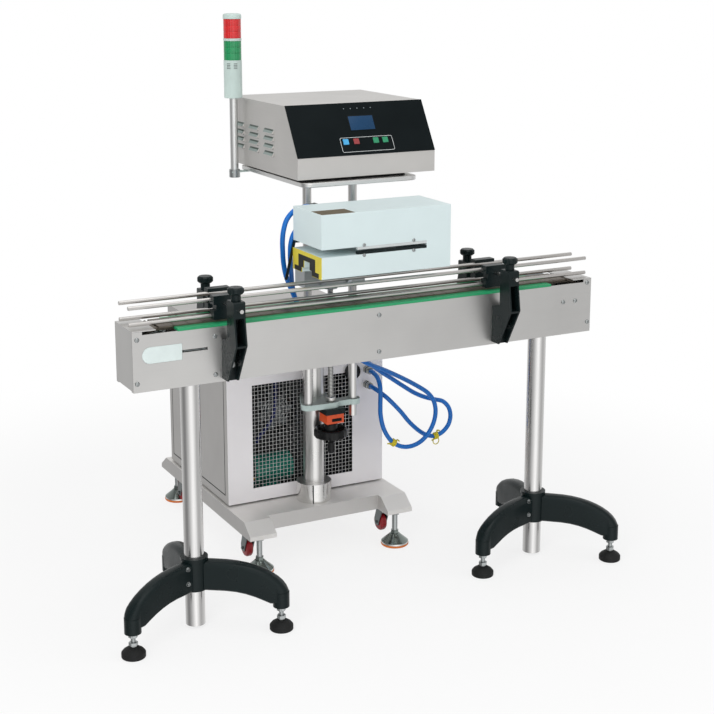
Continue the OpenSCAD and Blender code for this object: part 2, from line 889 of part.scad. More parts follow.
module levelling_studs() {
    color(bright) in_frame() {
        for (p = foot_list) translate([p[0], p[1], 0]) {
            translate([0, 0, pad_h]) cylinder(d = tripod_stud_d, h = boss_z0 - pad_h);
            translate([0, 0, boss_z0 - tripod_nut_h]) cylinder(d = tripod_nut_d, h = tripod_nut_h, $fn = 6);
            translate([0, 0, pad_h]) cylinder(d = tripod_nut_d - 4, h = 6);
        }
        for (x = beam_x, y = foot_y) translate([x, y, 0]) {
            rotate_extrude() polygon([[0, foot_rubber_h], [foot_d / 2 - 1, foot_rubber_h],
                [foot_d / 2 - 1, foot_rubber_h + 5], [20, foot_rubber_h + foot_cone_h - 6],
                [14, foot_rubber_h + foot_cone_h], [0, foot_rubber_h + foot_cone_h]]);
            translate([0, 0, foot_rubber_h + foot_cone_h - 1])
                cylinder(d = foot_stud_d, h = base_z0 - foot_rubber_h - foot_cone_h + 1);
            translate([0, 0, base_z0 - foot_nut_h]) cylinder(d = foot_nut_d, h = foot_nut_h, $fn = 6);
            translate([0, 0, foot_rubber_h + foot_cone_h - 1])
                cylinder(d = foot_nut_d - 4, h = foot_nut_h, $fn = 6);
        }
    }
}

// Machine base: two beams with sloped ends and a folded cross plate
module base_frame() {
    color(steel) in_frame() {
        difference() {
            union() {
                for (x = beam_x) {
                    along_x(x - beam_w / 2, x + beam_w / 2)
                        polygon([[base_y0, base_z0], [base_y0, base_z0 + lip_h], [base_y0 + slope_l, base_top],
                            [base_y1 - slope_l, base_top], [base_y1, base_z0 + lip_h], [base_y1, base_z0]]);
                    for (y = caster_y)
                        block(x - caster_plate_w / 2, x + caster_plate_w / 2, y - caster_plate_l / 2,
                            y + caster_plate_l / 2, base_z0 - caster_plate_t, base_z0 + 1);
                }
                block(beam_x[0], beam_x[1], cross_y0, cross_y1, base_top - cross_t, base_top);
                for (y = [cross_y0, cross_y1 - cross_t])
                    block(beam_x[0], beam_x[1], y, y + cross_t, base_z0, base_top);
            }
            for (x = beam_x, y = caster_y)
                rod_z(king_d + 2 * run, base_z0 - caster_plate_t - 1, base_z0 + 12, x, y);
        }
    }
}

// Swivel fork: crown, kingpin, two legs and the axle
module caster_fork(x, y) {
    top = base_z0 - caster_plate_t - free;
    leg_in = wheel_w / 2 + fork_gap;
    translate([x, y, 0]) {
        translate([0, 0, top - fork_crown_h]) cylinder(d = fork_crown_d, h = fork_crown_h);
        translate([0, 0, top - 1]) cylinder(d = king_d, h = 12 + caster_plate_t);
        for (s = [-1, 1])
            along_x(s * (leg_in + fork_t / 2) - fork_t / 2, s * (leg_in + fork_t / 2) + fork_t / 2)
                polygon([[-16, top - fork_crown_h + 1], [16, top - fork_crown_h + 1],
                    [trail + fork_leg_w / 2, axle_z + 8], [trail + fork_leg_w / 2 - 4, axle_z - 9],
                    [trail - fork_leg_w / 2 + 4, axle_z - 9], [trail - fork_leg_w / 2 - 4, axle_z + 10]]);
        rod_x(axle_d, -leg_in - fork_t - 4, leg_in + fork_t + 4, trail, axle_z);
    }
}

module caster_wheel(x, y) {
    r = wheel_d / 2;
    half = wheel_w / 2;
    translate([x, y + trail, axle_z]) rotate([0, 90, 0])
        rotate_extrude() polygon([[axle_d / 2 + run, -half], [r - 8, -half], [r - 3, -half + 1], [r, -half + 5],
            [r, half - 5], [r - 3, half - 1], [r - 8, half], [axle_d / 2 + run, half]]);
}

module fork_front_left() { color("dimgray") in_frame() caster_fork(beam_x[0], caster_y[0]); }
module fork_front_right() { color("dimgray") in_frame() caster_fork(beam_x[1], caster_y[0]); }
module fork_rear_left() { color("dimgray") in_frame() caster_fork(beam_x[0], caster_y[1]); }
module fork_rear_right() { color("dimgray") in_frame() caster_fork(beam_x[1], caster_y[1]); }
module wheel_front_left() { color("firebrick") in_frame() caster_wheel(beam_x[0], caster_y[0]); }
module wheel_front_right() { color("firebrick") in_frame() caster_wheel(beam_x[1], caster_y[0]); }
module wheel_rear_left() { color("firebrick") in_frame() caster_wheel(beam_x[0], caster_y[1]); }
module wheel_rear_right() { color("firebrick") in_frame() caster_wheel(beam_x[1], caster_y[1]); }

// Cabinet
module cabinet_front() {
    color(steel) in_frame() difference() {
        block(cab_x0, cab_x0 + cab_w, cab_y0, cab_y0 + cab_t, cab_z0, cab_z0 + cab_h);
        block(window_x, window_x + window_w, cab_y0 - 1, cab_y0 + cab_t + 1, window_z, window_z + window_h);
    }
}

module cabinet_mesh() {
    x0 = window_x - mesh_lap;
    x1 = window_x + window_w + mesh_lap;
    z0 = window_z - mesh_lap;
    z1 = window_z + window_h + mesh_lap;
    y = cab_y0 + cab_t;
    color("silver") in_frame() {
        for (i = [1:mesh_across])
            translate([i * (x1 - x0) / (mesh_across + 1), 0, 0])
                block(x0 - mesh_d / 2, x0 + mesh_d / 2, y, y + mesh_d, z0, z1);
        for (i = [1:mesh_up])
            translate([0, 0, i * (z1 - z0) / (mesh_up + 1)])
                block(x0, x1, y, y + mesh_d, z0 - mesh_d / 2, z0 + mesh_d / 2);
        for (x = [x0, x1 - mesh_d]) block(x, x + mesh_d, y, y + mesh_d, z0, z1);
        for (z = [z0, z1 - mesh_d]) block(x0, x1, y, y + mesh_d, z, z + mesh_d);
    }
}

module cabinet_shell() {
    x1 = cab_x0 + cab_w;
    y0 = cab_y0 + cab_t;
    y1 = cab_y0 + cab_d;
    z1 = cab_z0 + cab_h;
    groove = 3;
    margin = 22;
    color(steel) in_frame() {
        difference() {
            block(cab_x0, x1, y0, y1, cab_z0, z1);
            block(cab_x0 + cab_t, x1 - cab_t, y0 - 1, y1 - cab_t, cab_z0 + cab_t, z1 - cab_t);
            for (x = [cab_x0, x1]) {
                for (y = [y0 + margin, y1 - margin])
                    block(x - cab_t / 2, x + cab_t / 2, y, y + groove, cab_z0 + margin, z1 - margin);
                for (z = [cab_z0 + margin, z1 - margin])
                    block(x - cab_t / 2, x + cab_t / 2, y0 + margin, y1 - margin + groove, z, z + groove);
            }
        }
        for (x = [cab_x0 + pad_in, x1 - pad_in - pad_w], y = [y0 + pad_back, y1 - pad_back - pad_w])
            block(x, x + pad_w, y, y + pad_w, base_top, cab_z0 + 1);
    }
}

// A small circulation pump on its foot: motor, flange, volute and two ports
module pump() {
    z = cab_z0 + cab_t + pump_foot_h + pump_d / 2;
    color("teal") in_frame() {
        rod_x(pump_d, pump_x - pump_l / 2 + 40, pump_x + pump_l / 2, pump_y, z);
        rod_x(pump_d + 12, pump_x - pump_l / 2 + 30, pump_x - pump_l / 2 + 42, pump_y, z);
        rod_x(pump_d - 8, pump_x - pump_l / 2, pump_x - pump_l / 2 + 31, pump_y, z);
        rod_x(26, pump_x - pump_l / 2 - 18, pump_x - pump_l / 2 + 1, pump_y, z);
        rod_z(24, z, z + pump_d / 2 + 14, pump_x - pump_l / 2 + 16, pump_y);
        block(pump_x - 30, pump_x + 50, pump_y - 36, pump_y + 36, cab_z0 + cab_t, cab_z0 + cab_t + 6);
        block(pump_x - 10, pump_x + 30, pump_y - 18, pump_y + 18, cab_z0 + cab_t + 5, z - 20);
    }
}

// Finned radiator with a round shroud and the fan's motor in its middle
module radiator() {
    z0 = cab_z0 + cab_t;
    x0 = radiator_x - radiator_w / 2;
    x1 = radiator_x + radiator_w / 2;
    shroud_d = fan_d + 24;
    color("dimgray") in_frame() {
        block(x0, x1, radiator_y, radiator_y + radiator_t, z0, fan_z + radiator_w / 2);
        difference() {
            rod_y(shroud_d, radiator_y - shroud_l, radiator_y + 1, radiator_x, fan_z);
            rod_y(shroud_d - 6, radiator_y - shroud_l - 1, radiator_y, radiator_x, fan_z);
        }
        rod_y(fan_hub_d, fan_y + 14 + free, radiator_y + 1, radiator_x, fan_z);
    }
}

module fan() {
    color("gray") in_frame() {
        rod_y(fan_hub_d + 6, fan_y - 6, fan_y + 14, radiator_x, fan_z);
        for (k = [0:fan_blades - 1])
            translate([radiator_x, fan_y + 4, fan_z]) rotate([0, k * 360 / fan_blades, 0])
                translate([fan_hub_d / 2, 0, 0]) rotate([35, 0, 0])
                    translate([0, -1, -11]) cube([fan_d / 2 - fan_hub_d / 2 - 2, 2, 22]);
    }
}

// Hose connectors and the filler cap on the cabinet's front
module cabinet_fittings() {
    color(bright) in_frame() {
        for (z = fitting_z) {
            rod_y(fitting_d - 4, cab_y0 - fitting_l, cab_y0, fitting_x, z);
            translate([fitting_x, cab_y0 - 10, z]) rotate([-90, 30, 0])
                cylinder(d = fitting_d + 4, h = 10, $fn = 6);
            rod_y(fitting_d, cab_y0 - fitting_l + 4, cab_y0 - 14, fitting_x, z);
        }
        rod_y(cap_d, cab_y0 - cap_t, cab_y0, cap_x, fitting_z[0]);
    }
}

// Lift: the column in its collar and the two guide posts
module lift_posts() {
    color(bright) in_frame() {
        rod_z(col_d, base_top, col_top, col_x, col_y);
        intersection() {
            rod_z(collar_d, base_top, base_top + collar_h, col_x, col_y);
            block(base_x0, base_x0 + base_w, base_y0, cab_y0 - 1, base_top, base_top + collar_h);
        }
        rod_z(post_d, plate_z, shelf_z, screw_x - post_half, post_y);
        rod_z(post_d, plate_z - right_post_drop, shelf_z, screw_x + post_half, post_y);
    }
}

module clamp_plate() {
    left = screw_x - post_half;
    right = screw_x + post_half;
    color([0.8, 0.85, 0.83]) in_frame() difference() {
        translate([0, 0, plate_z]) linear_extrude(plate_t) {
            hull() {
                translate([left, post_y]) circle(d = post_d + 2 * boss_wall);
                translate([col_x, col_y]) circle(d = col_d + 2 * boss_wall);
            }
            hull() {
                translate([left, post_y]) circle(d = post_d + 2 * boss_wall);
                translate([screw_x, post_y]) circle(d = screw_d + 4 * boss_wall);
                translate([col_x, col_y]) circle(d = col_d);
            }
            translate([right, post_y]) circle(d = post_d + 2 * boss_wall);
            translate([screw_x, post_y - web_w / 2]) square([right - screw_x, web_w]);
        }
        rod_z(col_d + 2 * push, plate_z - 1, plate_z + plate_t + 1, col_x, col_y);
        rod_z(post_d + 2 * push, plate_z - 1, plate_z + plate_t + 1, left, post_y);
        rod_z(post_d + 2 * push, plate_z - 1, plate_z + plate_t + 1, right, post_y);
        rod_z(screw_d + 2 * run, plate_z - 1, plate_z + plate_t + 1, screw_x, post_y);
    }
}

module lead_screw() {
    color(bright) in_frame() {
        rod_z(screw_d, wheel_z - 4, screw_top, screw_x, post_y);
        rod_z(screw_d + 12, plate_z + plate_t + run, plate_z + plate_t + collar_t, screw_x, post_y);
    }
}

// Dished handwheel with a hub on the screw, a rounded rim and a turned grip below the rim
module handwheel() {
    r = handwheel_d / 2;
    bore = screw_d / 2 + push;
    hub_top = plate_z - indicator_base_h - indicator_h - free;
    rim_top = wheel_z + wheel_rim;
    color(black) in_frame() translate([screw_x, post_y, 0]) {
        rotate_extrude() polygon([[bore, wheel_z], [20, wheel_z], [22, wheel_z + 4], [r - 13, wheel_z + 4],
            [r - 8, wheel_z], [r - 3, wheel_z + 1], [r, wheel_z + 5], [r, rim_top - 6], [r - 3, rim_top - 1],
            [r - 7, rim_top], [r - 11, rim_top - 2], [r - 14, wheel_z + 13], [20, wheel_z + 12],
            [17, hub_top], [bore, hub_top]]);
        rotate(245) translate([r - 10, 0, wheel_z - grip_h])
            rotate_extrude() polygon([[0, 0], [grip_d / 2 - 3, 0], [grip_d / 2, 4], [grip_d / 2, 14],
                [grip_d / 2 - 3, grip_h - 4], [5, grip_h - 2], [5, grip_h + 4], [0, grip_h + 4]]);
    }
}

module indicator() {
    z1 = plate_z;
    z0 = plate_z - indicator_base_h;
    y0 = post_y - indicator_d / 2 - 6;
    half = indicator_w / 2;
    color([0.9, 0.35, 0.1]) in_frame() difference() {
        union() {
            block(screw_x - half - 4, screw_x + half + 4, y0 - 3, y0 + indicator_d + 3, z0, z1);
            block(screw_x - half, screw_x + half, y0, y0 + indicator_d, z0 - indicator_h, z0 + 1);
        }
        rod_z(screw_d + 2, z0 - indicator_h - 1, z1 + 1, screw_x, post_y);
    }
}

// Sealing head: one housing with a side slot and a stepped tunnel for the caps
module tunnel_outline() {
    translate([lane_y - shoulder_w / 2, head_z0 - 1]) square([shoulder_w, shoulder_top - head_z0 + 1]);
    translate([lane_y - neck_w / 2, head_z0 - 1]) square([neck_w, neck_top - head_z0 + 1]);
}

module head_housing() {
    x1 = head_x0 + head_l;
    color([0.84, 0.91, 0.91]) in_frame() difference() {
        block(head_x0, x1, head_y0, head_y1, head_z0, head_z0 + head_h);
        block(head_x0 - 1, head_x0 + slot_l, head_y0 - 1, head_y1 + 1, slot_z0, slot_z0 + slot_h);
        along_x(head_x0 - 1, x1 + 1) tunnel_outline();
        block(head_x0 + inlay_edge, head_x0 + inlay_edge + inlay_w, head_y0 + inlay_edge,
            head_y0 + inlay_edge + inlay_d, head_z0 + head_h - inlay_t, head_z0 + head_h + 1);
    }
}

module entry_plate() {
    color([0.93, 0.83, 0.1]) in_frame() along_x(head_x0 - entry_t, head_x0) difference() {
        translate([head_y0, head_z0]) square([head_w, slot_z0 - head_z0]);
        tunnel_outline();
    }
}

module top_plate() {
    color([0.48, 0.42, 0.32]) in_frame()
        block(head_x0 + inlay_edge + push, head_x0 + inlay_edge + inlay_w - push, head_y0 + inlay_edge + push,
            head_y0 + inlay_edge + inlay_d - push, head_z0 + head_h - inlay_t, head_z0 + head_h - 0.5);
}

// Dark strips along the mouth of the slot, and the stay under the upper part's rear corner
module head_trim() {
    x0 = head_x0 + strip_start;
    x1 = head_x0 + slot_l;
    color(black) in_frame() {
        block(x0, x1, head_y0, head_y0 + slot_strip_d, slot_z0 + slot_h - slot_strip_h, slot_z0 + slot_h);
        block(x0, x1, head_y0, head_y0 + slot_strip_d, slot_z0, slot_z0 + slot_strip_h);
        block(head_x0, head_x0 + 24, head_y1 - 16, head_y1 + 3, slot_z0 + slot_h - 5, slot_z0 + slot_h);
        translate([head_x0 + 4, head_y1 + 0.5, slot_z0 + slot_h - 2]) rotate([0, 14, 0])
            translate([-4, 0, -104]) cube([8, 2, 104]);
    }
}

// Elbow connectors on the head's rear face; each hose leaves towards the left
module head_fittings() {
    color(bright) in_frame() for (i = [0, 1]) {
        y = head_y1 + elbow_out[i];
        rod_y(elbow_d, head_y1, y, elbow_x[i], elbow_z[i]);
        translate([elbow_x[i], y, elbow_z[i]]) sphere(d = elbow_d);
        rod_x(elbow_d - 2, elbow_x[i] - elbow_l, elbow_x[i], y, elbow_z[i]);
    }
}

// Carriage on the two posts: bearing block with nut, and two sloped arms to the head's rear face
module lift_carriage() {
    y0 = post_y - carriage_d / 2;
    y1 = post_y + carriage_d / 2;
    z1 = carriage_z0 + carriage_h;
    color("slategray") in_frame() difference() {
        union() {
            block(screw_x - carriage_w / 2, screw_x + carriage_w / 2, y0, y1, carriage_z0, z1);
            rod_z(screw_d + 24, carriage_z0 - 14, carriage_z0 + 1, screw_x, post_y);
            for (s = [-1, 1])
                along_x(screw_x + s * carriage_arm_half - carriage_arm_t / 2,
                    screw_x + s * carriage_arm_half + carriage_arm_t / 2)
                    polygon([[y0 + 1, carriage_z0], [y0 + 1, z1], [head_y1, head_z0 + arm_root_high],
                        [head_y1, head_z0 + arm_root_low]]);
        }
        for (s = [-1, 1])
            rod_z(post_d + 2 * run, carriage_z0 - 1, z1 + 1, screw_x + s * post_half, post_y);
        rod_z(screw_d + 2 * run, carriage_z0 - 15, z1 + 1, screw_x, post_y);
    }
}

// Control box
module shelf() {
    color(bright) in_frame() {
        translate([shelf_x0, shelf_y0, shelf_z]) linear_extrude(shelf_t)
            rounded_plate(shelf_w, shelf_d, shelf_r);
    }
}

// A pressed louvre that opens downwards, with the slot behind its lip
module louvre(y, z) {
    along_y(y, y + louvre_w)
        polygon([[0, z], [-louvre_out, z], [-louvre_out, z + louvre_lip], [0, z + louvre_h]]);
}

module louvre_slot(y, z) {
    block(-louvre_out + louvre_lip, box_t + 1, y + louvre_lip, y + louvre_w - louvre_lip, z - 1,
        z + louvre_lip);
}

module louvre_field(open) {
    for (i = [0:louvre_cols - 1], j = [0:louvre_rows - 1]) {
        y = louvre_y0 - louvre_w / 2 + i * louvre_step_y;
        z = louvre_z0 + j * louvre_step_z;
        if (open) louvre_slot(y, z);
        else louvre(y, z);
    }
}

module louvre_sides(open) {
    translate([box_x0, 0, 0]) louvre_field(open);
    translate([box_x0 + box_w, 0, 0]) mirror([1, 0, 0]) louvre_field(open);
}

// Frame of the sloped face: X along the box, Y up the slope, Z out of it
module on_slope() {
    translate([box_x0, box_y0, box_z0 + brow_h]) rotate([slope_a, 0, 0]) children();
}

module control_box() {
    color(steel) in_frame() difference() {
        union() {
            along_x(box_x0, box_x0 + box_w)
                polygon([[box_y0, box_z0], [box_y0, box_z0 + brow_h], [box_y0 + brow_back, box_z0 + box_h],
                    [box_y0 + box_d, box_z0 + box_h], [box_y0 + box_d, box_z0]]);
            block(shelf_x0 + plinth_in, shelf_x0 + shelf_w - plinth_in, box_y0 + plinth_in,
                shelf_y0 + shelf_d - plinth_in, box_z0 - plinth_h, box_z0 + 1);
            louvre_sides(false);
        }
        louvre_sides(true);
        along_x(box_x0 + box_t, box_x0 + box_w - box_t)
            polygon([[box_y0 + box_t, box_z0 + box_t], [box_y0 + box_t, box_z0 + brow_h - 1],
                [box_y0 + brow_back + 2, box_z0 + box_h - box_t], [box_y0 + box_d - box_t, box_z0 + box_h - box_t],
                [box_y0 + box_d - box_t, box_z0 + box_t]]);
        on_slope() for (u = key_u)
            translate([u - key_w / 2 - free, slope_len - key_v - key_w / 2 - free, -key_h - 2])
                cube([key_w + 2 * free, key_w + 2 * free, key_h + 3]);
    }
}

module face_panel() {
    color(black) in_frame() on_slope() difference() {
        cube([box_w, slope_len, face_t]);
        for (u = key_u)
            translate([u - key_w / 2 - free, slope_len - key_v - key_w / 2 - free, -1])
                cube([key_w + 2 * free, key_w + 2 * free, face_t + 2]);
    }
}

module panel_key(u) {
    in_frame() on_slope() translate([u - key_w / 2, slope_len - key_v - key_w / 2, face_t + key_proud - key_h])
        linear_extrude(key_h) rounded_plate(key_w, key_w, 2);
}

module key_blue() { color("deepskyblue") panel_key(key_u[0]); }
module key_red() { color("firebrick") panel_key(key_u[1]); }
module key_green_left() { color("seagreen") panel_key(key_u[2]); }
module key_green_right() { color("seagreen") panel_key(key_u[3]); }

// Signal tower on a small bracket under the shelf
module signal_tower() {
    lens_z = tower_z + tower_body_h;
    color([0.78, 0.85, 0.82]) in_frame() {
        block(tower_x - 12, shelf_x0 + 30, tower_y - 12, tower_y + 12, shelf_z - 3, shelf_z);
        translate([tower_x, tower_y, tower_nut_z]) cylinder(d = tower_nut_d, h = tower_nut_h, $fn = 32);
        translate([tower_x, tower_y, tower_nut_z]) cylinder(d = tower_pole_d, h = tower_z - tower_nut_z + 1);
        translate([tower_x, tower_y, tower_z]) cylinder(d = tower_d, h = tower_body_h);
        translate([tower_x, tower_y, lens_z + lens_h]) cylinder(d = tower_d, h = ring_h);
        translate([tower_x, tower_y, lens_z + 2 * lens_h + ring_h])
            cylinder(d1 = tower_d, d2 = tower_d - 14, h = tower_cap_h);
    }
}

module tower_lenses() {
    lens_z = tower_z + tower_body_h;
    color("seagreen") in_frame() translate([tower_x, tower_y, lens_z]) cylinder(d = tower_d - 2, h = lens_h);
    color("red") in_frame() translate([tower_x, tower_y, lens_z + lens_h + ring_h])
        cylinder(d = tower_d - 2, h = lens_h);
}

// Cooling hoses swept along their routes
function unit(v) = v / norm(v);
function tangent(p, i) = unit(p[min(i + 1, len(p) - 1)] - p[max(i - 1, 0)]);
function around(k) = 360 * k / hose_sides;
function hose_ring(p, i) = let (t = tangent(p, i), u = unit(cross(t, [0.5, 0.3, 0.8])), v = cross(t, u))
    [for (k = [0:hose_sides - 1]) p[i] + hose_d / 2 * (cos(around(k)) * u + sin(around(k)) * v)];

module hose(route) {
    skin([for (i = [len(route) - 1:-1:0]) hose_ring(route, i)]);
}

module hose_supply() { color("royalblue") in_frame() hose(supply_route); }
module hose_return() { color("royalblue") in_frame() hose(return_route); }

front_panels();
rear_panel();
end_covers();
slat_chain();
wear_strips();
side_brackets();
leg_tubes();
tripods();
foot_pads();
levelling_studs();
gear_motor();
bearing_blocks();
drive_shaft();
idler_shaft();
front_rods();
front_clamps();
rear_rods();
rear_clamps();
knob_front_left();
knob_front_right();
knob_rear_left();
knob_rear_right();
base_frame();
fork_front_left();
fork_front_right();
fork_rear_left();
fork_rear_right();
wheel_front_left();
wheel_front_right();
wheel_rear_left();
wheel_rear_right();
cabinet_front();
cabinet_mesh();
cabinet_shell();
pump();
radiator();
fan();
cabinet_fittings();
lift_posts();
clamp_plate();
lead_screw();
handwheel();
indicator();
head_housing();
entry_plate();
top_plate();
head_trim();
head_fittings();
lift_carriage();
shelf();
control_box();
face_panel();
key_blue();
key_red();
key_green_left();
key_green_right();
signal_tower();
tower_lenses();
hose_supply();
hose_return();
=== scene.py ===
import bpy
import bmesh
import json
import math
from mathutils import Vector, Matrix


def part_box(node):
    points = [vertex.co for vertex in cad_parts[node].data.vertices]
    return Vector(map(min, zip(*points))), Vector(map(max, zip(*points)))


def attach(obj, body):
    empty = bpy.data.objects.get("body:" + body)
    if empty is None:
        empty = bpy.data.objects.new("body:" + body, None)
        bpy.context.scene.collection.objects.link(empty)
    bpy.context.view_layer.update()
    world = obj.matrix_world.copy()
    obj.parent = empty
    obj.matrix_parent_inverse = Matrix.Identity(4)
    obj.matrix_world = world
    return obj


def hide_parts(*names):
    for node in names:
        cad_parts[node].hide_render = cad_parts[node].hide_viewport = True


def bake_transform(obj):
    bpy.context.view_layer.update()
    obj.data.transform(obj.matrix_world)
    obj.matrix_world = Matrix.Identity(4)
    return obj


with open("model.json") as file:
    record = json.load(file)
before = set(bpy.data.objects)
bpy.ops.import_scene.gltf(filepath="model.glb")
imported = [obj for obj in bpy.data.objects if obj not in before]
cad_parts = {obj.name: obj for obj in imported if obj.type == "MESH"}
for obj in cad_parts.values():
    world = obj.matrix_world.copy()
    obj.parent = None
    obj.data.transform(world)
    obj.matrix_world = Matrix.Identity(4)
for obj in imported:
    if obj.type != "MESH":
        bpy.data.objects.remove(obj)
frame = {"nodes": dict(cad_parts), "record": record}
nodes = frame["nodes"]
bodyOf = {node: body for body, members in frame["record"]["behaviour"]["bodies"].items() for node in members}
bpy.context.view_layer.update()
mm = 0.001                             # the frame is in metres, places and profiles are in millimetres
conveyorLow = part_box("front_panels")[0]
print("frame loaded,", len(nodes), "nodes")


# a place counted in millimetres from the conveyor's left front corner, on the floor
def at(x, y, z):
    return Vector((conveyorLow.x + x * mm, conveyorLow.y + y * mm, z * mm))


def newObject(name, data):
    made = bpy.data.objects.new(name, data)
    bpy.context.scene.collection.objects.link(made)
    return made


# photograph's view: place of the lens, angles in degrees, focal length and picture in pixels
shot = {
    "place": (-1082.2, -3222.1, 1651.6),
    "yaw": 27.5,
    "pitch": 12.4,
    "focal": 1478.9,
    "side": 714,
    "centreY": 285,
}


def makeCamera():
    data = bpy.data.cameras.new("photoCamera")
    data.sensor_width = 36
    data.lens = shot["focal"] / shot["side"] * data.sensor_width
    data.shift_y = (shot["centreY"] - shot["side"] / 2) / shot["side"]
    data.clip_start = 0.1
    data.clip_end = 60
    camera = newObject("photoCamera", data)
    camera.location = at(*shot["place"])
    camera.rotation_euler = (math.radians(90 - shot["pitch"]), 0, -math.radians(shot["yaw"]))
    bpy.context.scene.camera = camera


makeCamera()
print("camera set")


# Materials

noiseSpan = (0.3, 0.7)                 # where most of a noise's values lie


# a node with its inputs set: a socket is linked to, anything else is written in
def addNode(tree, kind, inputs=None, **settings):
    made = tree.nodes.new(kind)
    for key, value in settings.items():
        setattr(made, key, value)
    for key, value in (inputs or {}).items():
        if isinstance(value, bpy.types.NodeSocket):
            tree.links.new(value, made.inputs[key])
        else:
            made.inputs[key].default_value = value
    return made


def linear(red, green, blue):
    def one(value):
        value = value / 255
        return value / 12.92 if value <= 0.04045 else ((value + 0.055) / 1.055) ** 2.4
    return (one(red), one(green), one(blue), 1.0)


class Finish:
    def __init__(self, name, colour, roughness, metallic=0.0):
        self.mat = bpy.data.materials.new(name)
        self.mat.use_nodes = True
        self.mat.diffuse_color = colour
        self.tree = self.mat.node_tree
        self.shader = self.tree.nodes["Principled BSDF"]
        self.colour = colour
        self.roughness = roughness
        self.put({"Base Color": colour, "Roughness": roughness, "Metallic": metallic})

    # values that are the same all over the surface
    def put(self, values):
        for key, value in values.items():
            self.shader.inputs[key].default_value = value

    def drive(self, socket, key):
        self.tree.links.new(socket, self.shader.inputs[key])
        return self

    # noise in the piece's own coordinates, stretched by a scale for each axis
    def noise(self, stretch, detail):
        coords = addNode(self.tree, "ShaderNodeTexCoord")
        mapping = addNode(self.tree, "ShaderNodeMapping", {
            "Vector": coords.outputs["Object"], "Scale": stretch})
        made = addNode(self.tree, "ShaderNodeTexNoise", {
            "Vector": mapping.outputs["Vector"], "Scale": 1.0, "Detail": detail, "Roughness": 0.55})
        return made.outputs["Fac"]

    def varyRough(self, fac, spread):
        span = addNode(self.tree, "ShaderNodeMapRange", {
            "Value": fac, "From Min": noiseSpan[0], "From Max": noiseSpan[1],
            "To Min": max(0.02, self.roughness - spread), "To Max": min(1.0, self.roughness + spread)})
        return self.drive(span.outputs["Result"], "Roughness")

    def varyColour(self, fac, dark, light):
        ramp = addNode(self.tree, "ShaderNodeValToRGB", {"Fac": fac})
        for element, place, factor in zip(ramp.color_ramp.elements, noiseSpan, (dark, light)):
            element.position = place
            element.color = tuple(min(1.0, c * factor) for c in self.colour[:3]) + (1.0,)
        return self.drive(ramp.outputs["Color"], "Base Color")

    def bump(self, fac, strength, distance):
        made = addNode(self.tree, "ShaderNodeBump", {
            "Height": fac, "Strength": strength, "Distance": distance})
        return self.drive(made.outputs["Normal"], "Normal")


# noise scales for streaks that run along one axis
def streaks(across, along, axis):
    return [along if name == axis else across for name in "XYZ"]


# rolled sheet with a fine grain along one axis
def brushedSheet(name, colour, axis, roughness=0.36, metallic=1.0):
    finish = Finish(name, colour, roughness, metallic)
    grain = finish.noise(streaks(900.0, 9.0, axis), 3.0)
    cloud = finish.noise((5, 5, 5), 3.0)
    return finish.varyRough(grain, 0.07).varyColour(cloud, 0.95, 1.03).bump(grain, 0.12, 0.00012).mat


# drawn or ground round bar
def polishedBar(name, colour, roughness, axis):
    finish = Finish(name, colour, roughness, 1.0)
    streak = finish.noise(streaks(260.0, 6.0, axis), 2.0)
    cloud = finish.noise((9, 9, 9), 3.0)
    return finish.varyRough(cloud, 0.04).varyColour(streak, 0.94, 1.03).mat


# injection moulded plastic with a fine grained skin
def mouldedPlastic(name, colour, roughness, grainSize=1400.0, grainDepth=0.00008, spread=0.06, shine=0.5):
    finish = Finish(name, colour, roughness)
    finish.put({"Specular IOR Level": shine})
    grain = finish.noise((grainSize,) * 3, 2.0)
    cloud = finish.noise((14, 14, 14), 4.0)
    return finish.varyRough(cloud, spread).varyColour(cloud, 0.93, 1.06).bump(grain, 0.2, grainDepth).mat


# sprayed enamel with a slightly pebbled skin
def enamel(name, colour, roughness):
    finish = Finish(name, colour, roughness)
    peel = finish.noise((420, 420, 420), 2.0)
    cloud = finish.noise((6, 6, 6), 3.0)
    return finish.varyRough(cloud, 0.05).varyColour(cloud, 0.97, 1.02).bump(peel, 0.1, 0.00015).mat


# zinc plated steel, cloudy and a little worn
def platedSteel(name, colour, roughness):
    finish = Finish(name, colour, roughness, 1.0)
    cloud = finish.noise((60, 60, 60), 5.0)
    return finish.varyRough(cloud, 0.06).varyColour(cloud, 0.95, 1.04).bump(cloud, 0.04, 0.0002).mat


# chain slats: rolled steel rubbed along the lane
def wornSlat(name, colour):
    finish = Finish(name, colour, 0.42, 0.85)
    rub = finish.noise((12, 500, 60), 4.0)
    cloud = finish.noise((30, 30, 30), 5.0)
    return finish.varyRough(rub, 0.1).varyColour(cloud, 0.8, 1.15).bump(rub, 0.15, 0.0002).mat


# clear coloured lens with a faint light of its own; on the keys, which are no lamps, that light is a painted
# glow
def tintedLens(name, colour, glow):
    finish = Finish(name, colour, 0.14)
    finish.put({"Emission Color": colour, "Emission Strength": glow, "Coat Weight": 0.6})
    cloud = finish.noise((40, 40, 40), 2.0)
    return finish.varyColour(cloud, 0.9, 1.1).varyRough(cloud, 0.03).mat


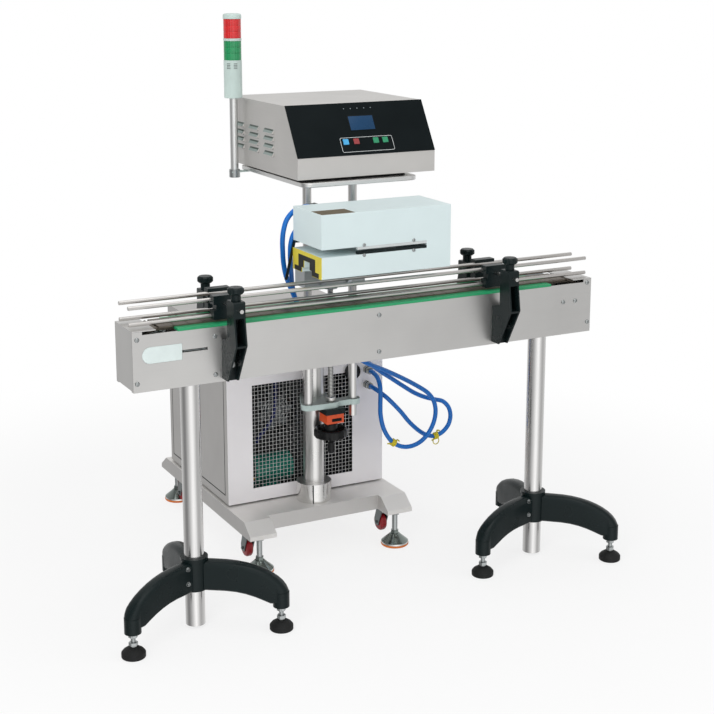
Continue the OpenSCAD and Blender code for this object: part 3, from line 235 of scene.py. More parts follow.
panelSteel = brushedSheet("panelSteel", linear(216, 215, 213), "X", 0.40)
# the cabinet's steel in two copies: a darker one for the shell and sides, painted shade, and a lighter, less
# metallic one for the front frame, painted light
shadedCabinetSteel = brushedSheet("shadedCabinetSteel", linear(204, 202, 200), "Z", 0.42)
litCabinetFront = brushedSheet("litCabinetFront", linear(252, 249, 251), "Z", 0.46, 0.2)
boxSteel = brushedSheet("boxSteel", linear(214, 212, 209), "Y", 0.40, 0.85)
# louvre hoods in a darker steel as painted shade, and a darker strip as a painted shadow line along their
# tops
louvreShadedSteel = brushedSheet("louvreShadedSteel", linear(178, 192, 188), "Y", 0.36)
louvreShade = brushedSheet("louvreShade", linear(120, 132, 126), "Y", 0.5)
# dark steel that paints the shade in slots, grooves and splits
slotShade = brushedSheet("slotShade", linear(52, 58, 57), "Y", 0.6)
# the base's steel lighter and less metallic than the cabinet's: painted light on the beams' tops
litBaseSteel = brushedSheet("litBaseSteel", linear(234, 232, 229), "Y", 0.46, 0.5)
tubeSteel = polishedBar("tubeSteel", linear(226, 225, 224), 0.2, "Z")
columnSteel = polishedBar("columnSteel", linear(226, 225, 223), 0.3, "Z")
poleSteel = polishedBar("poleSteel", linear(238, 239, 238), 0.36, "Z")
rodSteel = polishedBar("rodSteel", linear(212, 209, 206), 0.32, "X")
armSteel = polishedBar("armSteel", linear(220, 219, 217), 0.24, "Y")
shelfSteel = brushedSheet("shelfSteel", linear(228, 228, 227), "X", 0.3)
slatSteel = wornSlat("slatSteel", linear(120, 112, 102))
zincSteel = platedSteel("zincSteel", linear(176, 180, 180), 0.3)
darkZinc = platedSteel("darkZinc", linear(118, 124, 124), 0.34)
coneSteel = platedSteel("coneSteel", linear(138, 147, 143), 0.18)
fittingSteel = platedSteel("fittingSteel", linear(160, 163, 160), 0.14)
collarSteel = platedSteel("collarSteel", linear(224, 223, 221), 0.16)
plateTop = platedSteel("plateTop", linear(156, 164, 161), 0.42)
screwSteel = platedSteel("screwSteel", linear(216, 215, 212), 0.34)
lightStrip = mouldedPlastic("lightStrip", linear(206, 212, 212), 0.4)
greenStrip = mouldedPlastic("greenStrip", linear(40, 158, 104), 0.42)
blackNylon = mouldedPlastic("blackNylon", linear(18, 29, 30), 0.3, 1100.0, 0.00015, 0.08, 0.22)
blackGloss = mouldedPlastic("blackGloss", linear(18, 19, 20), 0.22, shine=0.25)
blackRubber = mouldedPlastic("blackRubber", linear(26, 27, 27), 0.62, shine=0.3)
orangeRubber = mouldedPlastic("orangeRubber", linear(226, 122, 48), 0.5)
redWheel = mouldedPlastic("redWheel", linear(150, 26, 34), 0.3)
motorPaint = enamel("motorPaint", linear(84, 92, 98), 0.42)
paleBlock = mouldedPlastic("paleBlock", linear(226, 238, 236), 0.36)
headShell = enamel("headShell", linear(220, 235, 236), 0.42)
entryYellow = mouldedPlastic("entryYellow", linear(226, 208, 62), 0.46)
labelBlack = mouldedPlastic("labelBlack", linear(34, 35, 33), 0.5, shine=0.3)
bronzePlate = brushedSheet("bronzePlate", linear(128, 114, 88), "X", 0.5)
facePanel = mouldedPlastic("facePanel", linear(14, 21, 23), 0.34, shine=0.1)
displayBlue = mouldedPlastic("displayBlue", linear(32, 66, 100), 0.3, shine=0.15)
# the keys' faint glow is painted light
keyBlue = tintedLens("keyBlue", linear(66, 160, 212), 0.1)
keyRed = tintedLens("keyRed", linear(146, 52, 54), 0.05)
keyGreen = tintedLens("keyGreen", linear(36, 138, 96), 0.1)
lampGrey = mouldedPlastic("lampGrey", linear(118, 128, 132), 0.4)
printWhite = mouldedPlastic("printWhite", linear(214, 218, 218), 0.5)
hoseBlue = mouldedPlastic("hoseBlue", linear(24, 112, 200), 0.26, 300.0, 0.0001, shine=0.4)
innerHoseBlue = mouldedPlastic("innerHoseBlue", linear(34, 44, 110), 0.4)
tieYellow = mouldedPlastic("tieYellow", linear(214, 198, 40), 0.4)
towerGrey = mouldedPlastic("towerGrey", linear(196, 213, 208), 0.34)
lensGreen = tintedLens("lensGreen", linear(6, 140, 82), 0.03)
lensRed = tintedLens("lensRed", linear(208, 22, 26), 0.03)
indicatorOrange = mouldedPlastic("indicatorOrange", linear(226, 84, 34), 0.32)
plateAlloy = enamel("plateAlloy", linear(196, 214, 210), 0.34)
carriageAlloy = brushedSheet("carriageAlloy", linear(186, 190, 192), "X", 0.42)
pumpTeal = enamel("pumpTeal", linear(18, 126, 108), 0.36)
darkCast = enamel("darkCast", linear(34, 46, 44), 0.5)
valveBrass = platedSteel("valveBrass", linear(206, 168, 96), 0.3)
brassFitting = platedSteel("brassFitting", linear(190, 150, 84), 0.32)
radiatorBlack = mouldedPlastic("radiatorBlack", linear(40, 41, 42), 0.55)
fanGrey = mouldedPlastic("fanGrey", linear(120, 124, 126), 0.4)
# near black that paints the shade inside the cabinet and under the control box
shadeBlack = mouldedPlastic("shadeBlack", linear(16, 16, 18), 0.7, shine=0.2)
wireSteel = polishedBar("wireSteel", linear(232, 232, 231), 0.34, "Z")
print("materials made:", len(bpy.data.materials))


# Mesh helpers


def smoothByAngle(made, degrees):
    for face in made.faces:
        face.smooth = True
    limit = math.radians(degrees)
    for edge in made.edges:
        edge.smooth = len(edge.link_faces) == 2 and edge.calc_face_angle(0) < limit


# ends a form: its faces turned outwards, and its edges crisp above an angle in degrees
def closeMesh(name, made, sharp=None, turnOut=True):
    if turnOut:
        bmesh.ops.recalc_face_normals(made, faces=made.faces)
    if sharp is not None:
        smoothByAngle(made, sharp)
    mesh = bpy.data.meshes.new(name)
    made.to_mesh(mesh)
    made.free()
    return mesh


# four-sided faces from each loop of points to the next
def skinLoops(made, loops):
    for near, far in zip(loops, loops[1:]):
        for k in range(len(near)):
            after = (k + 1) % len(near)
            made.faces.new((near[k], near[after], far[after], far[k]))


def capLoops(made, loops):
    made.faces.new(list(reversed(loops[0])))
    made.faces.new(loops[-1])


# a turned form about Z: each ring is a height and a radius, or a function of the angle that gives one;
# a hollow one has its last ring joined to its first
def turnedMesh(name, rings, steps=32, sharp=35, hollow=False):
    made = bmesh.new()
    loops = []
    for height, radius in rings:
        loop = []
        for k in range(steps):
            angle = 2 * math.pi * k / steps
            reach = radius(angle) if callable(radius) else radius
            loop.append(made.verts.new((reach * math.cos(angle), reach * math.sin(angle), height)))
        loops.append(loop)
    if hollow:
        skinLoops(made, loops + loops[:1])
    else:
        skinLoops(made, loops)
        capLoops(made, loops)
    return closeMesh(name, made, sharp)


def hexRadius(flat):
    def reach(angle):
        return flat / 2 / math.cos((angle + math.pi / 6) % (math.pi / 3) - math.pi / 6)
    return reach


# round head with a hex socket, standing on Z = 0
def socketScrew(name, across, height):
    r = across / 2
    socket = hexRadius(across * 0.45)
    rings = [(0, r * 0.98), (height * 0.35, r), (height * 0.75, r * 0.88), (height, r * 0.66),
             (height, lambda a: socket(a) * 1.02), (height * 0.45, socket)]
    return turnedMesh(name, rings, 24)


# hex head on its washer face
def hexBolt(name, flats, height):
    hexagon = hexRadius(flats)
    washer, seat = flats * 0.62, height * 0.16
    rings = [(0, washer), (seat, washer), (seat, hexagon), (height * 0.86, hexagon),
             (height, lambda a: min(hexagon(a), flats * 0.5))]
    return turnedMesh(name, rings, 24, 20)


def tubeMesh(name, path, radius, sides=8):
    made = bmesh.new()
    loops = []
    side = None
    for i, point in enumerate(path):
        ahead = (path[min(i + 1, len(path) - 1)] - path[max(i - 1, 0)]).normalized()
        if side is None:
            side = ahead.orthogonal().normalized()
        side = (side - ahead * side.dot(ahead)).normalized()
        up = ahead.cross(side)
        loop = []
        for k in range(sides):
            angle = 2 * math.pi * k / sides
            loop.append(made.verts.new(point + radius * (math.cos(angle) * side + math.sin(angle) * up)))
        loops.append(loop)
    skinLoops(made, loops)
    capLoops(made, loops)
    return closeMesh(name, made, 50)


# smooth curve through given points
def smoothPath(points, perSpan):
    ends = [2 * points[0] - points[1]] + points + [2 * points[-1] - points[-2]]
    path = []
    for i in range(1, len(ends) - 2):
        a, b, c, d = ends[i - 1:i + 3]
        for k in range(perSpan):
            t = k / perSpan
            path.append(0.5 * (2 * b + (c - a) * t + (2 * a - 5 * b + 4 * c - d) * t * t
                               + (3 * b - a - 3 * c + d) * t ** 3))
    path.append(points[-1])
    return path


def pathLength(path):
    return sum((b - a).length for a, b in zip(path, path[1:]))


def boxMesh(name, low, high, bevel=0.0):
    made = bmesh.new()
    bmesh.ops.create_cube(made, size=1.0)
    span = high - low
    for vert in made.verts:
        vert.co = low + Vector((vert.co[i] + 0.5) * span[i] for i in range(3))
    if bevel:
        bmesh.ops.bevel(made, geom=made.edges[:], offset=bevel, segments=2, affect="EDGES", profile=0.5)
    return closeMesh(name, made, 35, False)


# a flat strip of faces given some thickness
def thicken(name, made, push):
    solid = bmesh.ops.extrude_face_region(made, geom=made.faces[:])
    for item in solid["geom"]:
        if isinstance(item, bmesh.types.BMVert):
            item.co += push
    return closeMesh(name, made)


def placed(mesh, matrix):
    mesh.transform(matrix)
    return mesh


def moved(mesh, place):
    return placed(mesh, Matrix.Translation(place))


def joinMeshes(name, meshes):
    made = bmesh.new()
    for mesh in meshes:
        made.from_mesh(mesh)
        bpy.data.meshes.remove(mesh)
    return closeMesh(name, made, turnOut=False)


# Pieces


def newPiece(name, mesh, body, finish):
    piece = newObject(name, mesh)
    if finish is not None:
        mesh.materials.clear()
        mesh.materials.append(finish)
    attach(piece, body)
    return piece


# the mesh that an object's modifiers give; the object itself is taken away
def applied(holder, name):
    shown = holder.evaluated_get(bpy.context.evaluated_depsgraph_get())
    mesh = bpy.data.meshes.new_from_object(shown)
    mesh.name = name
    holder.modifiers.clear()
    bpy.data.objects.remove(holder)
    return mesh


# a node's own solid with its outside edges eased by some millimetres, so that they catch the light
def easeNode(node, width, finish, turn=35, segments=2):
    made = bmesh.new()
    made.from_mesh(nodes[node].data)
    bmesh.ops.remove_doubles(made, verts=made.verts, dist=2e-6)
    bmesh.ops.dissolve_limit(made, angle_limit=math.radians(0.5), verts=made.verts, edges=made.edges)
    mesh = closeMesh(node + "Eased", made, turn, False)
    mesh.materials.append(finish)
    holder = newObject(node + "Holder", mesh)
    bevel = holder.modifiers.new("ease", "BEVEL")
    bevel.width = width * mm
    bevel.segments = segments
    bevel.limit_method = "ANGLE"
    bevel.angle_limit = math.radians(turn)
    bevel.harden_normals = True
    bevel.use_clamp_overlap = True
    piece = newPiece(node + "Eased", applied(holder, node + "Eased"), bodyOf[node], None)
    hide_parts(node)
    return piece


# gives the faces of a piece that a test picks another finish
def refinish(piece, finish, picks):
    mesh = piece.data
    mesh.materials.append(finish)
    index = len(mesh.materials) - 1
    for face in mesh.polygons:
        if picks(face.center, face.normal):
            face.material_index = index


# distance of a point from an upright line
def fromAxis(point, axis):
    return math.hypot(point.x - axis.x, point.y - axis.y)


# Geometry Nodes helpers


def newTree(name, **inputs):
    tree = bpy.data.node_groups.new(name, "GeometryNodeTree")
    for label, kind in {"Geometry": "Geometry", **inputs}.items():
        tree.interface.new_socket(label, in_out="INPUT", socket_type="NodeSocket" + kind)
    tree.interface.new_socket("Geometry", in_out="OUTPUT", socket_type="NodeSocketGeometry")
    return tree, addNode(tree, "NodeGroupInput").outputs


# instances at the points, made real and given their finish
def endTree(tree, spots, finish):
    spread = addNode(tree, "GeometryNodeInstanceOnPoints", spots)
    real = addNode(tree, "GeometryNodeRealizeInstances", {"Geometry": spread.outputs["Instances"]})
    paint = addNode(tree, "GeometryNodeSetMaterial", {
        "Geometry": real.outputs["Geometry"], "Material": finish})
    addNode(tree, "NodeGroupOutput", {"Geometry": paint.outputs["Geometry"]})
    return tree


def bakeTree(name, tree, mesh, values):
    holder = newObject(name + "Holder", mesh)
    modifier = holder.modifiers.new("nodes", "NODES")
    modifier.node_group = tree
    for item in tree.interface.items_tree:
        if item.in_out == "INPUT" and item.name in values:
            modifier[item.identifier] = values[item.name]
    return applied(holder, name)


def makeScatterTree():
    tree, given = newTree("repeatItem", Item="Object", Turn="Vector", Finish="Material")
    info = addNode(tree, "GeometryNodeObjectInfo", {"Object": given["Item"]})
    spots = {"Points": given["Geometry"], "Instance": info.outputs["Geometry"], "Rotation": given["Turn"]}
    return endTree(tree, spots, given["Finish"])


scatterTree = makeScatterTree()


# the same item at each of the points, turned the same way
def repeatItem(name, points, item, turn, finish, body="frame"):
    holder = newObject(name + "Item", item)
    spots = bpy.data.meshes.new(name + "Spots")
    spots.from_pydata([tuple(p) for p in points], [], [])
    mesh = bakeTree(name, scatterTree, spots, {"Item": holder, "Turn": turn, "Finish": finish})
    bpy.data.objects.remove(holder)
    for face in mesh.polygons:
        face.material_index = 0
    return newPiece(name, mesh, body, finish)


# turns for an item that is made along +Z
toFront = (math.radians(90), 0, 0)
toRear = (math.radians(-90), 0, 0)
layX = Matrix.Rotation(math.radians(90), 4, "Y")
print("helpers ready")


# Hoses, on the routes of the part's source

hoses = {
    "diameter": 13 * mm,
    "perSpan": 6,
    "supply": [
        (851, 405, 493), (851, 393, 493), (851, 367, 486), (850, 348, 467), (848, 341, 441),
        (845, 336, 412), (845, 334, 382), (853, 334, 346), (869, 334, 314), (891, 334, 290),
        (919, 334, 276), (950, 334, 274), (980, 334, 284), (1004, 334, 305), (1021, 334, 335),
        (1027, 334, 368), (1020, 334, 400), (1000, 333, 427), (964, 330, 453), (906, 318, 488),
        (840, 300, 524), (768, 273, 561), (690, 255, 612), (634, 243, 655), (582, 231, 702),
        (540, 218, 752), (510, 205, 806), (488, 193, 850), (476, 182, 888), (470, 173, 922),
        (467, 167, 950), (469, 164, 977), (478, 163, 1004), (499, 163, 1025), (527, 163, 1033),
        (541, 163, 1033)],
    "return": [
        (851, 405, 448), (851, 394, 448), (856, 368, 443), (869, 350, 430), (888, 343, 410),
        (918, 346, 378), (951, 354, 340), (984, 358, 309), (1011, 359, 291), (1039, 360, 283),
        (1066, 361, 290), (1087, 361, 310), (1094, 361, 337), (1087, 361, 364), (1067, 361, 385),
        (1039, 360, 395), (1003, 357, 408), (966, 352, 427), (927, 344, 453), (880, 331, 486),
        (838, 315, 515), (800, 302, 543), (750, 288, 577), (700, 283, 614), (648, 273, 654),
        (600, 262, 694), (560, 250, 736), (532, 236, 783), (515, 215, 825), (504, 196, 858),
        (494, 178, 886), (487, 164, 913), (485, 156, 940), (492, 154, 966), (511, 154, 986),
        (537, 154, 993), (550, 154, 993)],
    "followFrom": (700, 260, 600),     # a point low on the route, by the cabinet
    "followTo": (470, 180, 960),       # a point high on the route, by the head
    "ties": {"supply": 8.9, "return": 9.2},            # counted in points of the route
    "tie": {"wire": 2.6 * mm, "pitch": 5.0 * mm, "turns": 3, "steps": 20, "tail": 13 * mm, "rise": 13 * mm,
            "curl": 3 * mm, "tailSteps": 14, "ringSteps": 32, "rings": {"supply": 0, "return": 10 * mm}},
}


# a plastic covered wire wound a few times round the hose, with two loose ends and, where asked, a ring below
def tieMesh(name, path, index, ring):
    tie = hoses["tie"]
    centre = path[index]
    ahead = (path[index + 1] - path[index - 1]).normalized()
    up = (Vector((0, 0, 1)) - ahead * ahead.z).normalized()
    side = ahead.cross(up)
    reach = hoses["diameter"] / 2 + tie["wire"] * 0.7
    wound = []
    for k in range(tie["turns"] * tie["steps"] + 1):
        turn = k / tie["steps"]
        angle = 2 * math.pi * turn
        wound.append(centre + (up * math.cos(angle) + side * math.sin(angle)) * reach
                     + ahead * tie["pitch"] * (turn - tie["turns"] / 2))
    parts = [tubeMesh(name + "Wound", wound, tie["wire"])]
    for lean in (-1, 1):
        tail = []
        for k in range(tie["tailSteps"] + 1):
            t = k / tie["tailSteps"]
            rise = reach * (1 - t) + tie["rise"] * math.sin(math.pi * t / 2) * lean
            curl = tie["curl"] * math.sin(2.5 * math.pi * t)
            tail.append(centre + up * rise + ahead * lean * tie["tail"] * t + side * curl * lean)
        parts.append(tubeMesh(name + "Tail", tail, tie["wire"] * 0.8))
    if ring:
        middle = centre - up * (reach + ring * 0.8)
        loop = []
        for k in range(tie["ringSteps"] + 1):
            angle = 2 * math.pi * k / tie["ringSteps"]
            loop.append(middle + (up * math.cos(angle) + ahead * math.sin(angle)) * ring)
        parts.append(tubeMesh(name + "Ring", loop, tie["wire"] * 0.55))
    return joinMeshes(name, parts)


def makeHoses():
    for key in ("supply", "return"):
        node = "hose_" + key
        points = [at(*p) for p in hoses[key]]
        path = smoothPath(points, hoses["perSpan"])
        mesh = tubeMesh(node + "Tube", path, hoses["diameter"] / 2, 20)
        piece = newObject(node + "Tube", mesh)
        mesh.materials.append(hoseBlue)
        index = int(hoses["ties"][key] * hoses["perSpan"])
        tie = tieMesh(node + "Tie", path, index, hoses["tie"]["rings"][key])
        tiePiece = newPiece(node + "Tie", tie, "frame", tieYellow)
        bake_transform(piece)
        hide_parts(node)
        print("hose", key, round(pathLength(path), 3), "m")


makeHoses()


# Conveyor

conveyor = {
    "width": 124, "screw": 12 * mm, "screwHeight": 3.5 * mm,
    "frontScrews": [(12, 779), (10, 672), (209, 766), (209, 670), (659, 768), (659, 672), (1306, 788),
                    (1310, 677), (1228, 741), (1268, 741)],
    "rearScrews": [(12, 779), (10, 672), (400, 768), (400, 672), (900, 768), (900, 672), (1306, 788),
                   (1310, 677)],
}


def makeConveyor():
    for node in ("front_panels", "rear_panel", "end_covers"):
        easeNode(node, 0.6, panelSteel)
    easeNode("wear_strips", 1.2, greenStrip)
    easeNode("slat_chain", 0.5, slatSteel, 40, 1)
    easeNode("bearing_blocks", 1.5, paleBlock)
    easeNode("gear_motor", 1.2, motorPaint)
    for node in ("drive_shaft", "idler_shaft"):
        easeNode(node, 0.6, zincSteel)
    screw = socketScrew("panelScrewHead", conveyor["screw"], conveyor["screwHeight"])
    front = [at(x, 0, z) for x, z in conveyor["frontScrews"]]
    repeatItem("panelScrewsFront", front, screw, toFront, zincSteel)
    rear = [at(x, conveyor["width"], z) for x, z in conveyor["rearScrews"]]
    repeatItem("panelScrewsRear", rear, screw, toRear, zincSteel)


makeConveyor()
print("conveyor dressed")

takeUp = {"start": 128, "end": 186, "level": 738, "depth": 3.5, "rod": 5 * mm, "thread": 0.8 * mm,
          "turns": 48, "nut": 8 * mm, "nutHeight": 5 * mm, "nutPlace": 0.82}


# threaded take-up rod in the tensioner's slot, with its nut
def makeTakeUp():
    length = (takeUp["end"] - takeUp["start"]) * mm
    halves = takeUp["turns"] * 2
    rings = []
    for k in range(halves + 1):
        rings.append((length * k / halves, takeUp["rod"] / 2 - (takeUp["thread"] / 2 if k % 2 else 0)))
    rod = turnedMesh("takeUpRodForm", rings, 16, 80)
    hexagon = hexRadius(takeUp["nut"])
    nut = turnedMesh("takeUpNutForm", [(0, hexagon), (takeUp["nutHeight"], hexagon)], 24, 20)
    start = at(takeUp["start"], takeUp["depth"], takeUp["level"])
    along = Vector((length * takeUp["nutPlace"], 0, 0))
    parts = [moved(placed(rod, layX), start), moved(placed(nut, layX), start + along)]
    newPiece("takeUpRod", joinMeshes("takeUpRod", parts), "frame", darkZinc)


makeTakeUp()
print("take-up rod made")


# Guide rails, brackets and knobs

rails = {"bracketsX": (241, 1014), "shift": 18, "bolt": 13 * mm, "boltHeight": 6 * mm, "boltZ": 698,
         "boltDepth": 26, "arms": {"front_rods": 843, "rear_rods": 823}, "armHalf": 5.5 * mm}


def makeRails():
    easeNode("side_brackets", 1.6, blackNylon)
    for node in ("front_clamps", "rear_clamps"):
        easeNode(node, 1.2, blackNylon)
    for node, level in rails["arms"].items():
        piece = easeNode(node, 0.8, rodSteel)
        refinish(piece, armSteel, lambda c, n: abs(c.z - level * mm) < rails["armHalf"] and abs(n.x) < 0.99)
    for node in ("knob_front_left", "knob_front_right", "knob_rear_left", "knob_rear_right"):
        easeNode(node, 1.4, blackNylon)
    bolt = hexBolt("bracketBoltHead", rails["bolt"], rails["boltHeight"])
    front = [at(x, -rails["boltDepth"], rails["boltZ"]) for x in rails["bracketsX"]]
    repeatItem("bracketBoltsFront", front, bolt, toFront, zincSteel)
    rearY = conveyor["width"] + rails["boltDepth"]
    rear = [at(x + rails["shift"], rearY, rails["boltZ"]) for x in rails["bracketsX"]]
    repeatItem("bracketBoltsRear", rear, bolt, toRear, zincSteel)


makeRails()
print("rails dressed")


# Legs and tripods

legs = {"x": (165, 1188), "y": 62, "turns": (-4, -11), "reach": 221, "armHalf": 19.5,
        "bolt": 10 * mm, "boltHeight": 5 * mm, "boltReach": 45, "boltZ": (170, 131), "boltArm": 1,
        "nut": 20 * mm, "nutHeight": 10 * mm, "nutChamfer": 1 * mm, "nutZ": (30, 51), "nutTurn": 0.3}
levelFeet = {"around": 20 * mm, "rubber": 12 * mm, "rim": 11.5 * mm, "cone": 44 * mm}


# where a tripod's arm points, seen from above
def armDirection(arm, turn):
    angle = math.radians(90 + 120 * arm + turn)
    return Vector((math.cos(angle), math.sin(angle), 0))


def makeLegs():
    easeNode("leg_tubes", 0.5, tubeSteel)
    easeNode("tripods", 1.5, blackNylon, 40)
    # the base's own feet: orange rubber under a dark cone with a bright rim
    low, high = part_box("base_frame")
    around = levelFeet["around"]
    pads = easeNode("foot_pads", 0.6, blackRubber)
    refinish(pads, orangeRubber, lambda c, n: low.x - around < c.x < high.x + around and c.y > low.y - around
             and c.z < levelFeet["rubber"])
    studs = easeNode("levelling_studs", 0.5, zincSteel)
    refinish(studs, coneSteel, lambda c, n: low.y - around < c.y and c.z < levelFeet["cone"])
    refinish(studs, collarSteel, lambda c, n: low.y - around < c.y and c.z < levelFeet["rim"])
    # clamp bolts through the side of one arm on each hub
    bolt = hexBolt("hubBoltHead", legs["bolt"], legs["boltHeight"])
    for side, x, turn in zip(("Left", "Right"), legs["x"], legs["turns"]):
        along = armDirection(legs["boltArm"], turn)
        across = Vector((-along.y, along.x, 0))
        seat = (along * legs["boltReach"] + across * legs["armHalf"]) * mm
        heading = tuple(across.to_track_quat("Z", "Y").to_euler())
        spots = [at(x, legs["y"], z) + seat for z in legs["boltZ"]]
        repeatItem("hubBolts" + side, spots, bolt, heading, zincSteel)
    hexagon = hexRadius(legs["nut"])
    ends = legs["nut"] * 0.46
    height, chamfer = legs["nutHeight"], legs["nutChamfer"]
    rings = [(0, ends), (chamfer, hexagon), (height - chamfer, hexagon), (height, ends)]
    nut = turnedMesh("studNutForm", rings, 24, 20)
    spots = []
    for x, turn in zip(legs["x"], legs["turns"]):
        for arm in range(3):
            seat = armDirection(arm, turn) * legs["reach"] * mm
            spots += [at(x, legs["y"], z) + seat for z in legs["nutZ"]]
    repeatItem("studNuts", spots, nut, (0, 0, legs["nutTurn"]), zincSteel)


makeLegs()
print("legs dressed")


# Machine base and casters

baseFrame = {"beam": 80 * mm, "casters": ("front_left", "front_right", "rear_left", "rear_right")}


def makeBase():
    beams = easeNode("base_frame", 1.6, litBaseSteel)
    low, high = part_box("base_frame")
    inner = (low.x + baseFrame["beam"], high.x - baseFrame["beam"])
    # the beams' sides and the cross plate's folds take the darker cabinet steel, brushed upright, as painted
    # shade beside the lighter tops
    refinish(beams, shadedCabinetSteel, lambda c, n: abs(n.x) > 0.8
             or abs(n.y) > 0.8 and inner[0] < c.x < inner[1])
    for place in baseFrame["casters"]:
        easeNode("fork_" + place, 0.8, darkZinc)
        easeNode("wheel_" + place, 1.0, redWheel)


makeBase()
print("base dressed")


# Cabinet

grille = {"pitch": 11 * mm, "wire": 1.3 * mm, "wave": 0.6 * mm, "edge": 3 * mm, "sides": 6, "stepsPerCell": 4}


def makeWeaveTree():
    tree, given = newTree("weaveWires", Count="Int", Pitch="Float", Length="Float", Wave="Float",
                          Wire="Float", Phase="Float", Cell="Float", Finish="Material")

    def maths(kind, a, b=0.0):
        return addNode(tree, "ShaderNodeMath", {0: a, 1: b}, operation=kind).outputs["Value"]

    def vector(axis, value):
        return addNode(tree, "ShaderNodeCombineXYZ", {axis: value}).outputs["Vector"]

    # one wire along X, waved in Y by the crossing wires
    line = addNode(tree, "GeometryNodeCurvePrimitiveLine", {"End": vector("X", given["Length"])})
    steps = maths("MULTIPLY", maths("DIVIDE", given["Length"], given["Cell"]), grille["stepsPerCell"])
    sample = addNode(tree, "GeometryNodeResampleCurve", {"Curve": line.outputs["Curve"], "Count": steps})
    where = addNode(tree, "GeometryNodeInputPosition")
    split = addNode(tree, "ShaderNodeSeparateXYZ", {"Vector": where.outputs["Position"]})
    turn = maths("MULTIPLY", maths("DIVIDE", split.outputs["X"], given["Cell"]), math.pi)
    wave = maths("MULTIPLY", maths("SINE", maths("ADD", turn, given["Phase"])), given["Wave"])
    waved = addNode(tree, "GeometryNodeSetPosition", {
        "Geometry": sample.outputs["Curve"], "Offset": vector("Y", wave)})
    ring = addNode(tree, "GeometryNodeCurvePrimitiveCircle", {
        "Resolution": grille["sides"], "Radius": maths("MULTIPLY", given["Wire"], 0.5)})
    wire = addNode(tree, "GeometryNodeCurveToMesh", {
        "Curve": waved.outputs["Geometry"], "Profile Curve": ring.outputs["Curve"]})
    # copies of it one above another
    row = addNode(tree, "GeometryNodeMeshLine", {
        "Count": given["Count"], "Offset": vector("Z", given["Pitch"])})
    return endTree(tree, {"Points": row.outputs["Mesh"], "Instance": wire.outputs["Mesh"]}, given["Finish"])


def makeGrille():
    tree = makeWeaveTree()
    low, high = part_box("cabinet_mesh")
    pitch, edge = grille["pitch"], grille["edge"]
    spanX, spanZ = high.x - low.x, high.z - low.z
    swapXZ = Matrix(((0, 0, 1, 0), (0, 1, 0, 0), (1, 0, 0, 0), (0, 0, 0, 1)))
    parts = []
    for upright, length, span in ((False, spanX, spanZ), (True, spanZ, spanX)):
        for odd in (0, 1):
            rows = bakeTree("grilleRows", tree, bpy.data.meshes.new("grilleSeed"), {
                "Count": (int(span / pitch) + 1 - odd) // 2, "Pitch": 2 * pitch, "Length": length,
                "Wave": grille["wave"], "Wire": grille["wire"], "Phase": math.pi * (odd + upright + 0.5),
                "Cell": pitch, "Finish": wireSteel})
            start = Vector((0, 0, pitch * (0.5 + odd)))
            if upright:
                rows.transform(swapXZ)
                rows.flip_normals()
                start = start.zyx
            parts.append(moved(rows, start + Vector((low.x, (low.y + high.y) / 2, low.z))))
    for x in (low.x, high.x - edge):
        parts.append(boxMesh("grilleEdge", Vector((x, low.y, low.z)), Vector((x + edge, high.y, high.z))))
    for z in (low.z, high.z - edge):
        parts.append(boxMesh("grilleEdge", Vector((low.x, low.y, z)), Vector((high.x, high.y, z + edge))))
    mesh = joinMeshes("cabinetGrille", parts)
    for face in mesh.polygons:
        face.use_smooth = True
    piece = newPiece("cabinetGrille", mesh, "frame", wireSteel)
    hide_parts("cabinet_mesh")
    print("grille made:", len(mesh.polygons), "faces")


cabinet = {"wall": 1.6 * mm, "floor": 151.6 * mm, "padTop": 149.8 * mm, "groove": (0.2 * mm, 1.5 * mm),
           "grooveInset": 12 * mm, "volute": 48 * mm, "port": 19 * mm, "capEnd": 832}


def makeCabinet():
    # painted light on the front frame and painted shade on the shell, by the two copies of the cabinet steel
    easeNode("cabinet_front", 0.5, litCabinetFront)
    shell = easeNode("cabinet_shell", 0.8, shadedCabinetSteel)
    low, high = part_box("cabinet_shell")
    wall, inset = cabinet["wall"], cabinet["grooveInset"]

    def inside(c, n):
        return (low.x + wall < c.x < high.x - wall and c.y < high.y - wall
                and cabinet["floor"] < c.z < high.z - wall)

    # pressed line round each side panel, its faces painted dark as shade
    def groove(c, n):
        near, far = cabinet["groove"]
        return (near < min(c.x - low.x, high.x - c.x) < far and low.z + inset < c.z < high.z - inset
                and low.y + inset < c.y < high.y - inset)
    # painted shade: the shell's inner faces near black
    refinish(shell, shadeBlack, inside)
    refinish(shell, slotShade, groove)
    refinish(shell, blackRubber, lambda c, n: c.z < cabinet["padTop"] and n.z < 0.9)
    pump = easeNode("pump", 1.5, pumpTeal)
    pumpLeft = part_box("pump")[0].x
    refinish(pump, darkCast, lambda c, n: c.x < pumpLeft + cabinet["volute"])
    refinish(pump, valveBrass, lambda c, n: c.x < pumpLeft + cabinet["port"])
    easeNode("radiator", 1.0, radiatorBlack)
    easeNode("fan", 0.5, fanGrey)
    fittings = easeNode("cabinet_fittings", 0.7, fittingSteel)
    refinish(fittings, blackGloss, lambda c, n: c.x < at(cabinet["capEnd"], 0, 0).x)


makeGrille()
makeCabinet()
print("cabinet dressed")

innerPipes = {
    "diameter": 11 * mm,
    "cold": [(530, 500, 300), (545, 512, 312), (570, 522, 330), (596, 528, 362), (604, 530, 400),
             (606, 532, 450), (612, 540, 520), (640, 560, 570)],
    "valve": (500, 492, 196),
    "valveRings": [(0, 7), (4, 9), (16, 9), (18, 6), (44, 6)],       # along it and radius, in millimetres
    "grip": ((-5, -4, -22), (5, 4, 0)), "gripPlace": (508, 492, 188), "gripEase": 1.5 * mm,
}


